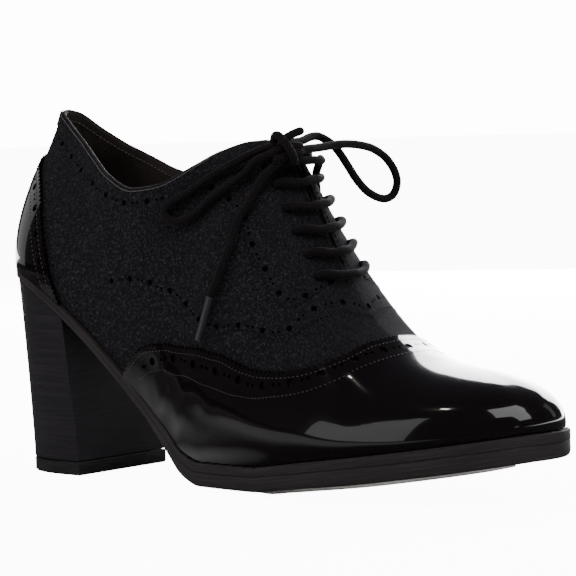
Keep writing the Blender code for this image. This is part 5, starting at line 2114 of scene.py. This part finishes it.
@dataclass
class HeelUnit:
    """The block heel and its top piece."""

    piece_height: float = 0.0052
    piece_length: float = 0.0370
    piece_width: float = 0.0490
    top_breast: float = 0.0378
    seat_inset: float = 0.0004
    points: int = 40

    def outline(self, lean: float, inset: float = 0.0) -> Array:
        """Plan of the heel at a share of its height.

        Args:
            lean: Share of the height.
            inset: How far inside its face.

        Returns:
            Points, X from the last's back end and Y, from the outer breast corner round the back.
        """
        centre = LAST.heel_centre
        front, back = centre + self.piece_length / 2.0, centre - self.piece_length / 2.0
        i = np.arange(2 * self.points + 1)
        side = np.where(i <= self.points, -1.0, 1.0)
        angle = (1.0 - np.abs(i - self.points) / self.points) * np.pi / 2.0
        full = 2.0 / 2.7
        low = np.stack([front + (back - front) * np.sin(angle) ** full,
                        side * self.piece_width / 2.0 * np.maximum(np.cos(angle), 0.0) ** full], -1)
        wanted = self.top_breast / LAST.length * (1.0 - np.sin(angle) ** 1.35)
        half = LAST.round_at(np.maximum(wanted, 0.0)) / 2.0
        turn = np.where(side < 0, half, np.mod(1.0 - half, 1.0))
        edge = LAST.outline(turn) + LAST.outline_normal(turn) * self.seat_inset
        high = np.stack([edge[:, 0] + centre, edge[:, 1]], -1)
        place = low + (high - low) * lean**1.25
        place[[0, -1], 0] = front + (self.top_breast - front) * lean
        if inset:
            middle = np.array([centre, 0.0])
            away = place - middle
            place = middle + away * (1.0 - inset / np.linalg.norm(away, axis=1, keepdims=True))
        return place

    def stack(self, name: str, rings: list[Array], finish: Finish) -> Piece:
        """A block from open outlines, closed across the breast.

        Args:
            name: Name of the piece.
            rings: Outlines from the floor up.
            finish: Its finish.

        Returns:
            The block.
        """
        walked = distances(rings[0])
        uv = np.concatenate([np.stack([walked, ring[:, 2]], -1) for ring in rings])
        return add_mesh(name, np.concatenate(rings), bridged(rings, 1, True), finish, 35.0, uv)

    def build(self) -> None:
        """Make and dress the heel."""
        sole = SoleUnit()
        base = self.piece_height + 0.0003
        rings = []
        for lean, inset in ((0.0, 0.0004), (0.004, 0.0), *((k / 16.0, 0.0) for k in range(1, 17))):
            place = self.outline(lean, inset)
            share = np.clip(place[:, 0] / LAST.length, 0.0, 1.0)
            roof = LAST.foot_height(share) - sole.thickness(share) - 0.0001
            z = base + (roof - base) * lean
            rings.append(np.stack([place[:, 0] - LAST.heel_centre, place[:, 1], z], -1))
        settle(self.stack("heel_block", rings, HEEL_COVER), HEEL_COVER, "heel")
        rings = []
        for z, inset in ((0.0, 0.0006), (0.0006, 0.0), (self.piece_height - 0.0003, 0.0),
                         (self.piece_height, 0.0004)):
            place = self.outline(0.0, inset)
            rings.append(np.stack([place[:, 0] - LAST.heel_centre, place[:, 1],
                                   np.full(len(place), z)], -1))
        settle(self.stack("heel_top_piece", rings, TOP_PIECE), TOP_PIECE, "top_piece")


# step of each strand of the knot in metres, and its places in millimetres along, across and out
KNOT_STRANDS = (
    (0.0008, ((-3.2, -2.0, -1.8), (-5.2, -1.8, 0.2), (-5.7, -1.3, 2.2), (-4.0, -0.9, 3.6),
              (-1.0, -0.5, 3.9), (2.2, -0.1, 3.3), (4.9, 0.3, 1.6), (5.8, 0.7, -0.8),
              (3.4, 0.8, -2.4), (-0.6, 0.4, -2.6))),
    (0.0009, ((-0.6, -5.2, -0.8), (-0.4, -2.6, 0.5), (-0.3, 0.0, 0.7), (0.2, 2.8, 0.6), (1.0, 5.4, -0.2))),
    (0.0009, ((2.4, -4.6, -1.0), (2.8, -2.4, -0.2), (2.9, 0.0, 0.1), (3.0, 2.6, -0.2), (2.8, 5.0, -1.2))),
    (0.0009, ((-1.6, -0.6, 1.0), (-2.8, 1.2, 2.4), (-3.1, 3.4, 3.1), (-3.2, 5.6, 3.3), (-3.2, 7.4, 3.2))),
)


@dataclass
class Lacing:
    """The lace through its eyelets, and its bow."""

    upper: Upper
    diameter: float = 0.0031
    lift: float = 0.0009
    bar_lean: float = 0.021
    knot_size: tuple[float, float, float] = (0.0052, 0.0058, 0.0036)
    knot_place: tuple[float, float] = (0.526, 0.88)
    standoff: float = 0.0014
    clearance: float = 0.0003
    hidden: float = 0.0022
    aglet_length: float = 0.0165
    aglet_diameter: float = 0.0034
    loop_outer: Route = (
        (0.524, 0.874, 7.5), (0.516, 0.847, 6.0), (0.505, 0.821, 5.0), (0.495, 0.816, 4.0),
        (0.486, 0.792, 3.0), (0.468, 0.804, 2.5), (0.446, 0.848, 2.2), (0.428, 0.865, 2.2),
        (0.421, 0.845, 2.2), (0.425, 0.800, 2.2), (0.435, 0.752, 2.2), (0.448, 0.719, 2.2),
        (0.461, 0.695, 2.2), (0.476, 0.690, 2.2), (0.488, 0.710, 2.4), (0.498, 0.745, 3.2),
        (0.509, 0.778, 5.0), (0.517, 0.808, 6.0), (0.522, 0.846, 7.5),
    )
    end_outer: Route = (
        (0.531, 0.845, 6.8), (0.528, 0.818, 5.5), (0.523, 0.761, 4.2), (0.520, 0.725, 3.4),
        (0.515, 0.650, 2.3), (0.506, 0.587, 2.3), (0.504, 0.525, 2.3), (0.500, 0.475, 2.3),
        (0.496, 0.426, 2.3), (0.493, 0.400, 2.3),
    )
    end_inner: Route = (
        (0.534, 0.860, 5.5), (0.528, 0.800, 4.2), (0.522, 0.740, 2.6), (0.516, 0.660, 2.3),
        (0.510, 0.590, 2.3), (0.505, 0.525, 2.3), (0.500, 0.465, 2.3), (0.497, 0.430, 2.3),
    )
    end_inner_start: Route = (
        (140.9, -9.4, 120.5), (142.4, -6.4, 118.8), (143.2, -1.0, 118.9), (142.4, 4.4, 118.4),
    )
    tip_outer: tuple[float, float, float] = (0.486, 0.302, 2.6)
    tip_inner: tuple[float, float, float] = (0.486, 0.330, 2.6)
    loop_inner: Route = (
        (138.0, -7.8, 125.0), (137.6, -4.0, 125.6), (137.0, 0.6, 126.0), (136.0, 6.2, 127.2),
        (135.9, 10.9, 127.4), (136.6, 14.6, 125.9), (137.6, 17.4, 123.9), (139.0, 20.0, 120.3),
        (140.1, 23.2, 115.4), (140.9, 26.8, 110.6), (141.8, 31.3, 106.3), (143.0, 36.3, 103.7),
        (143.9, 40.0, 103.1), (144.7, 42.9, 104.2), (145.2, 44.6, 106.7), (145.5, 45.0, 109.9),
        (145.3, 43.6, 113.7), (144.8, 40.9, 117.3), (144.3, 37.3, 120.0), (143.8, 32.2, 122.3),
        (143.2, 26.6, 123.5), (142.3, 21.0, 124.1), (141.6, 14.9, 124.1), (141.4, 8.9, 123.6),
        (141.6, 3.2, 123.2), (141.8, -2.4, 123.0), (141.7, -6.8, 122.6),
    )

    def on_upper(self, route: Route, side: Side) -> Array:
        """World places of a route given as round, up and millimetres above the upper."""
        rows = np.array(route)
        return LAST.point(LAST.turn(rows[:, 0], side), rows[:, 1], rows[:, 2] * MM)

    def from_heel(self, route: Route) -> Array:
        """World places of a route given in millimetres from the last's back end.

        Args:
            route: Its places.

        Returns:
            World places in metres.
        """
        rows = np.array(route) * MM
        rows[:, 0] -= LAST.heel_centre
        return rows

    def knot_frame(self) -> tuple[Array, Array, Array, Array]:
        """The knot's middle, and its directions along the instep, across it and out of it.

        Returns:
            The middle and the three directions.
        """
        turn, up = np.array(self.knot_place[0] / 2.0), np.array(self.knot_place[1])
        out = LAST.normal(turn, up)
        along = unit(LAST.shell(turn + 0.01, up) - LAST.shell(turn - 0.01, up))
        high = self.diameter + self.lift + self.clearance + self.knot_size[2]
        return LAST.point(turn, up, high), along, np.cross(out, along), out

    def outside_knot(self, points: Array) -> Array:
        """The part of a cord that lies outside the knot.

        Args:
            points: The cord's points.

        Returns:
            The points that are left.
        """
        middle, *ways = self.knot_frame()
        reach = np.array(self.knot_size) + self.standoff
        away = (points - middle) @ np.array(ways).T / reach
        depth = np.linalg.norm(away, axis=1)
        kept = []
        for i in range(len(points) - 1):
            if depth[i] >= 1.0:
                kept.append(points[i])
            if (depth[i] < 1.0) != (depth[i + 1] < 1.0):
                share = (1.0 - depth[i]) / (depth[i + 1] - depth[i])
                kept.append(points[i] + (points[i + 1] - points[i]) * share)
        if depth[-1] >= 1.0:
            kept.append(points[-1])
        return np.array(kept)

    def into_knot(self, route: Array, head: bool, tail: bool) -> Array:
        """A cord's route led on a little way into the knot, where its end is hidden.

        Args:
            route: The cord's points.
            head: Whether its start is led on.
            tail: Whether its end is led on.

        Returns:
            The longer route.
        """
        parts = [route]
        if head:
            parts.insert(0, [route[0] + unit(route[0] - route[1]) * self.hidden])
        if tail:
            parts.append([route[-1] + unit(route[-1] - route[-2]) * self.hidden])
        return np.concatenate(parts)

    def bars(self) -> None:
        """The straight bars, each going down through an eyelet at both its ends."""
        lie = self.diameter / 2.0 + self.lift
        steps = ((0.12, 0.85), (0.30, 1.0), (0.48, 1.0), (0.66, 1.0), (0.84, 1.0), (1.0, 1.0))
        for i, share_round in enumerate(self.upper.eyelet_rounds()):
            halves = []
            for side in Side:
                turn, up = self.upper.eyelet(float(share_round), side)
                half = [LAST.point(np.array(turn), np.array(up + 0.004), -0.0028),
                        LAST.point(np.array(turn), np.array(up + 0.002), -0.0010),
                        LAST.point(np.array(turn), np.array(up + 0.004), 0.0007)]
                for step, rise in steps:
                    lean = self.bar_lean * math.sin(step * math.pi / 2.0)
                    there = LAST.turn(share_round + lean, side)
                    edge = float(LAST.throat_up(np.array([there]))[0])
                    half.append(LAST.point(np.array(there), np.array(up + (edge - up) * step), lie * rise))
                halves.append(half)
            route = smooth_route(halves[0] + halves[1][::-1], 0.0011)
            name = f"lace_bar_{i + 1}"
            settle(tube(name + "_braid", route, self.diameter / 2.0, LACE), LACE, name)

    def knot(self) -> Piece:
        """The tied knot: one turn of lace wrapped over the crossing strands.

        Returns:
            The knot.
        """
        middle, *ways = self.knot_frame()
        pieces = []
        for i, (step, places) in enumerate(KNOT_STRANDS):
            spots = [middle + sum(way * share for way, share in zip(ways, place)) * MM for place in places]
            line = smooth_route(spots, step)
            pieces.append(tube(f"knot_part_{i}", line, self.diameter / 2.0, LACE))
        return join("lace_knot_tied", pieces)

    def build(self) -> None:
        """Lay the bow and its ends with their aglets, and run the bars."""
        knot = self.knot()
        settle(knot, LACE, "lace_knot")
        loops = ((Side.OUTER, self.on_upper(self.loop_outer, Side.OUTER)),
                 (Side.INNER, self.from_heel(self.loop_inner)))
        for side, spots in loops:
            word = side.name.lower()
            route = self.outside_knot(smooth_route(spots, 0.0016))
            route = self.into_knot(route, True, True)
            piece = tube(f"bow_loop_{word}", route, self.diameter / 2.0, LACE)
            settle(piece, LACE, f"lace_loop_{word}")
        ends = ((Side.OUTER, self.on_upper(self.end_outer, Side.OUTER), self.tip_outer),
                (Side.INNER, np.concatenate([self.from_heel(self.end_inner_start),
                                             self.on_upper(self.end_inner, Side.INNER)]), self.tip_inner))
        for side, spots, tip in ends:
            word = side.name.lower()
            route = self.outside_knot(smooth_route(spots, 0.0016))
            goal = self.on_upper((tip,), side)[0]
            way = unit(goal - route[-1])
            start = route[-1] + way * self.clearance
            route = self.into_knot(route, True, False)
            piece = tube(f"bow_end_{word}", route, self.diameter / 2.0, LACE)
            settle(piece, LACE, f"lace_end_{word}")
            aglet = self.aglet(word, start, way)
            settle(aglet, AGLET, f"aglet_{word}")
        self.bars()

    def aglet(self, word: str, start: Array, way: Array) -> Piece:
        """The plastic tube on a lace's end, slightly crimped.

        Args:
            word: Side, for its name.
            start: Its upper end.
            way: Its direction.

        Returns:
            The aglet.
        """
        s = np.linspace(0.0, self.aglet_length, 24)
        run = s / self.aglet_length
        radius = self.aglet_diameter / 2.0 * (0.80 + 0.08 * np.exp(-(run / 0.05) ** 2) - 0.10 * run**3)
        route = start + way * s[:, None]
        return tube(f"aglet_{word}_tube", route, radius, AGLET, sides=20, round_ends=False)


def join(name: str, pieces: list[Piece]) -> Piece:
    """One object from several, with their meshes at the origin.

    Args:
        name: Name of the result.
        pieces: Objects to join; they are removed.

    Returns:
        The joined object.
    """
    shape = bmesh.new()
    for piece in pieces:
        shape.from_mesh(piece.data)
    mesh = bpy.data.meshes.new(name)
    shape.to_mesh(mesh)
    shape.free()
    mesh.materials.append(pieces[0].data.materials[0])
    for piece in pieces:
        bpy.data.objects.remove(piece)
    return show(name, mesh)


@dataclass(frozen=True)
class Lamp:
    """A rectangular soft lamp, placed along the way that a spot on the shoe mirrors.

    Attributes:
        name: Its name.
        spot: Place on the shoe that it is set for, in metres.
        azimuth: Compass direction from there, in degrees from +X towards +Y.
        elevation: Angle above the floor, in degrees.
        distance: Distance from the spot.
        size: Width and height.
        radiance: Brightness of its face.
        roll: Turn about its own axis, in degrees.
        colour: Its colour.
        in_gloss: Whether it shows in mirror images.
    """

    name: str
    spot: tuple[float, float, float]
    azimuth: float
    elevation: float
    distance: float
    size: tuple[float, float]
    radiance: float
    roll: float = 0.0
    colour: tuple[float, float, float] = (1.0, 1.0, 1.0)
    in_gloss: bool = True

    def add(self) -> None:
        """Put the lamp in the scene."""
        lamp = bpy.data.lights.new(self.name, "AREA")
        lamp.shape = "RECTANGLE"
        lamp.size, lamp.size_y = self.size
        lamp.energy = self.radiance * math.pi * self.size[0] * self.size[1]
        lamp.color = self.colour
        made = show(self.name, lamp)
        az, el, roll = (math.radians(v) for v in (self.azimuth, self.elevation, self.roll))
        out = Vector((math.cos(az) * math.cos(el), math.sin(az) * math.cos(el), math.sin(el)))
        level = Vector((-math.sin(az), math.cos(az), 0.0))
        rise = out.cross(level)
        across = level * math.cos(roll) + rise * math.sin(roll)
        place = Matrix((across, out.cross(across), out)).transposed().to_4x4()
        place.translation = Vector(self.spot) + out * self.distance
        made.matrix_world = place
        made.visible_glossy = self.in_gloss


LAMPS = (
    Lamp("back", (0.190, 0.0, 0.045), 112.0, 19.0, 1.3, (1.15, 1.00), 12.0, colour=(0.95, 0.95, 1.0)),
    Lamp("warm", (0.195, -0.026, 0.033), -105.0, 72.0, 1.2, (0.06, 0.03), 45.0, colour=(1.0, 0.93, 0.82)),
    Lamp("left", (0.0, -0.030, 0.080), 178.0, 12.0, 1.2, (0.7, 0.6), 0.4),
    Lamp("fill", (0.10, 0.0, 0.060), -60.0, 62.0, 1.1, (1.0, 0.8), 3.0, in_gloss=False),
    Lamp("side", (0.0, -0.030, 0.040), -150.0, 12.0, 1.2, (0.6, 0.5), 8.5, in_gloss=False),
)


@dataclass(frozen=True)
class Card:
    """A far, evenly bright card whose outline is given as the toe cap mirrors it.

    Attributes:
        name: Its name.
        corners: Azimuth and elevation of each corner, in degrees, seen from the toe cap.
        radiance: Brightness of its face.
        spot: Place on the shoe that it is set for.
        distance: Distance from there.
    """

    name: str
    corners: tuple[tuple[float, float], ...]
    radiance: float
    spot: tuple[float, float, float] = (0.190, -0.020, 0.030)
    distance: float = 3.0

    def add(self) -> None:
        """Put the card in the scene, out of the camera's sight."""
        az, el = np.radians(np.array(self.corners)).T
        rim = np.stack([np.cos(az) * np.cos(el), np.sin(az) * np.cos(el), np.sin(el)], -1)
        points = np.array(self.spot) + np.concatenate([rim.mean(0)[None], rim]) * self.distance
        count = len(rim)
        faces = [(0, 1 + i, 1 + (i + 1) % count) for i in range(count)]
        mesh = plain_mesh(self.name, points, faces=faces)
        material = bpy.data.materials.new(self.name)
        material.use_nodes = True
        shader = material.node_tree.nodes["Principled BSDF"]
        shader.inputs["Base Color"].default_value = (0.0, 0.0, 0.0, 1.0)
        shader.inputs["Emission Color"].default_value = (1.0, 1.0, 1.0, 1.0)
        shader.inputs["Emission Strength"].default_value = self.radiance
        mesh.materials.append(material)
        made = show(self.name, mesh)
        made.visible_camera = False


CARDS = (
    Card("window", ((-28.0, 70.0), (20.0, 68.5), (41.0, 63.5), (33.0, 52.0), (23.0, 41.0), (20.0, 19.0),
                    (0.0, 19.5), (-8.0, 39.0), (-28.0, 43.0)), 2.5),
    Card("band", ((-130.0, 0.2), (-121.0, 7.0), (-113.0, 18.0), (-105.0, 32.0), (-100.5, 44.0),
                  (-96.0, 51.0), (-90.0, 52.0), (-90.0, 0.2)), 0.95),
    Card("strip", ((54.0, 35.0), (66.0, 36.0), (60.0, 7.0), (53.0, 7.0)), 0.35),
    Card("glint", ((-10.0, 4.0), (-4.0, 5.0), (-3.0, 0.3), (-9.0, 0.3)), 0.7),
)
# x and y of each pool of light on the floor, where it starts to fade and ends, how bright it is
POOLS = (
    ((0.033, -0.067), 0.01, 0.050, 0.55),
    ((-0.050, -0.600), 0.36, 0.450, 0.45),
    ((-0.100, -0.080), 0.01, 0.110, 0.35),
)


@dataclass
class Studio:
    """Camera, pale floor and soft lights."""

    azimuth: float = 40.8
    elevation: float = 3.5
    roll: float = 1.85
    distance: float = 1.040
    focal_px: float = 2808.0
    centre_px: tuple[float, float] = (271.0, 292.9)
    frame_px: float = 576.0
    aim: tuple[float, float, float] = (0.120, 0.0, 0.070)
    white: float = 14.0
    floor_white: float = 11.2
    dim: float = 0.05
    floor_half: float = 14.0

    def camera(self) -> None:
        """The camera at the photograph's viewing angle."""
        a, e, r = (math.radians(v) for v in (self.azimuth, self.elevation, self.roll))
        back = Vector((math.sin(a) * math.cos(e), -math.cos(a) * math.cos(e), math.sin(e)))
        right = Vector((math.cos(a), math.sin(a), 0.0))
        up = back.cross(right)
        right_rolled = right * math.cos(r) - up * math.sin(r)
        up_rolled = right * math.sin(r) + up * math.cos(r)
        data = bpy.data.cameras.new("camera")
        data.sensor_width = 36.0
        data.lens = self.focal_px * 36.0 / self.frame_px
        data.shift_x = (self.frame_px / 2.0 - self.centre_px[0]) / self.frame_px
        data.shift_y = (self.centre_px[1] - self.frame_px / 2.0) / self.frame_px
        made = show("camera", data)
        place = Matrix((right_rolled, up_rolled, back)).transposed().to_4x4()
        anchor = Vector(self.aim) - Vector((LAST.heel_centre, 0.0, 0.0))
        place.translation = anchor + back * self.distance
        made.matrix_world = place
        bpy.context.scene.camera = made

    def glow(self, sheet: Sheet) -> Socket:
        """How bright the floor shines in mirror images: its pools of light, and its far part.

        Args:
            sheet: The floor's material.

        Returns:
            The brightness.
        """
        place = sheet.node("ShaderNodeTexCoord").outputs["Object"]
        parts = sheet.node("ShaderNodeSeparateXYZ", in_0=place)
        bright = sheet.ramp(parts.outputs[1], 0.55, 0.90, 0.0, 6.0)
        for middle, inner, outer, strength in POOLS:
            away = sheet.node("ShaderNodeVectorMath", operation="DISTANCE", in_0=place,
                              in_1=(*middle, 0.0))
            pool = sheet.ramp(away.outputs["Value"], inner, outer, strength, 0.0)
            bright = sheet.math("ADD", bright, pool)
        return bright

    def floor(self) -> None:
        """A pale floor: white to the eye, and in mirror images a pool of light."""
        material = bpy.data.materials.new("studio_floor")
        material.use_nodes = True
        sheet = Sheet(material.node_tree)
        shader = material.node_tree.nodes["Principled BSDF"]
        shader.inputs["Roughness"].default_value = 0.9
        shader.inputs["Specular IOR Level"].default_value = 0.0
        shader.inputs["Emission Color"].default_value = (1.0, 1.0, 1.0, 1.0)
        path = sheet.node("ShaderNodeLightPath")
        seen = sheet.math("MULTIPLY", path.outputs["Is Camera Ray"], self.floor_white)
        mirrored = sheet.math("MULTIPLY", path.outputs["Is Glossy Ray"], self.glow(sheet))
        colour = sheet.mix(path.outputs["Is Glossy Ray"], (0.90, 0.90, 0.91, 1.0), (0.04, 0.04, 0.04, 1.0))
        sheet.feed(shader.inputs["Base Color"], colour)
        sheet.feed(shader.inputs["Emission Strength"], sheet.math("ADD", seen, mirrored))
        half = self.floor_half
        corners = [(-half, -half, 0), (half, -half, 0), (half, half, 0), (-half, half, 0)]
        mesh = plain_mesh("floor", corners, faces=[(0, 1, 2, 3)])
        mesh.materials.append(material)
        show("floor", mesh)

    def sky(self) -> None:
        """White surroundings for the eye, dim ones for the gloss."""
        world = bpy.data.worlds.new("studio")
        world.use_nodes = True
        sheet = Sheet(world.node_tree)
        world.node_tree.nodes.clear()
        end = sheet.node("ShaderNodeOutputWorld")
        seen = sheet.node("ShaderNodeBackground", in_0=(1.0, 1.0, 1.0, 1.0), in_1=self.white)
        lit = sheet.node("ShaderNodeBackground", in_0=(0.92, 0.93, 1.0, 1.0), in_1=self.dim)
        path = sheet.node("ShaderNodeLightPath")
        mix = sheet.node("ShaderNodeMixShader", in_0=path.outputs["Is Camera Ray"],
                         in_1=lit.outputs[0], in_2=seen.outputs[0])
        sheet.feed(end.inputs[0], mix.outputs[0])
        bpy.context.scene.world = world

    def build(self) -> None:
        """Set up the studio."""
        self.camera()
        self.floor()
        self.sky()
        for light in (*LAMPS, *CARDS):
            light.add()


def main() -> None:
    """Build the shoe piece by piece and light it."""
    logging.basicConfig(level=logging.INFO, format="%(message)s")
    studio = Studio()
    studio.build()
    upper = Upper()
    for part in (Lacing(upper), upper, PatentPieces(), SoleUnit(), HeelUnit()):
        part.build()
        LOG.info("built %s", type(part).__name__)


if __name__ == "__main__":
    main()
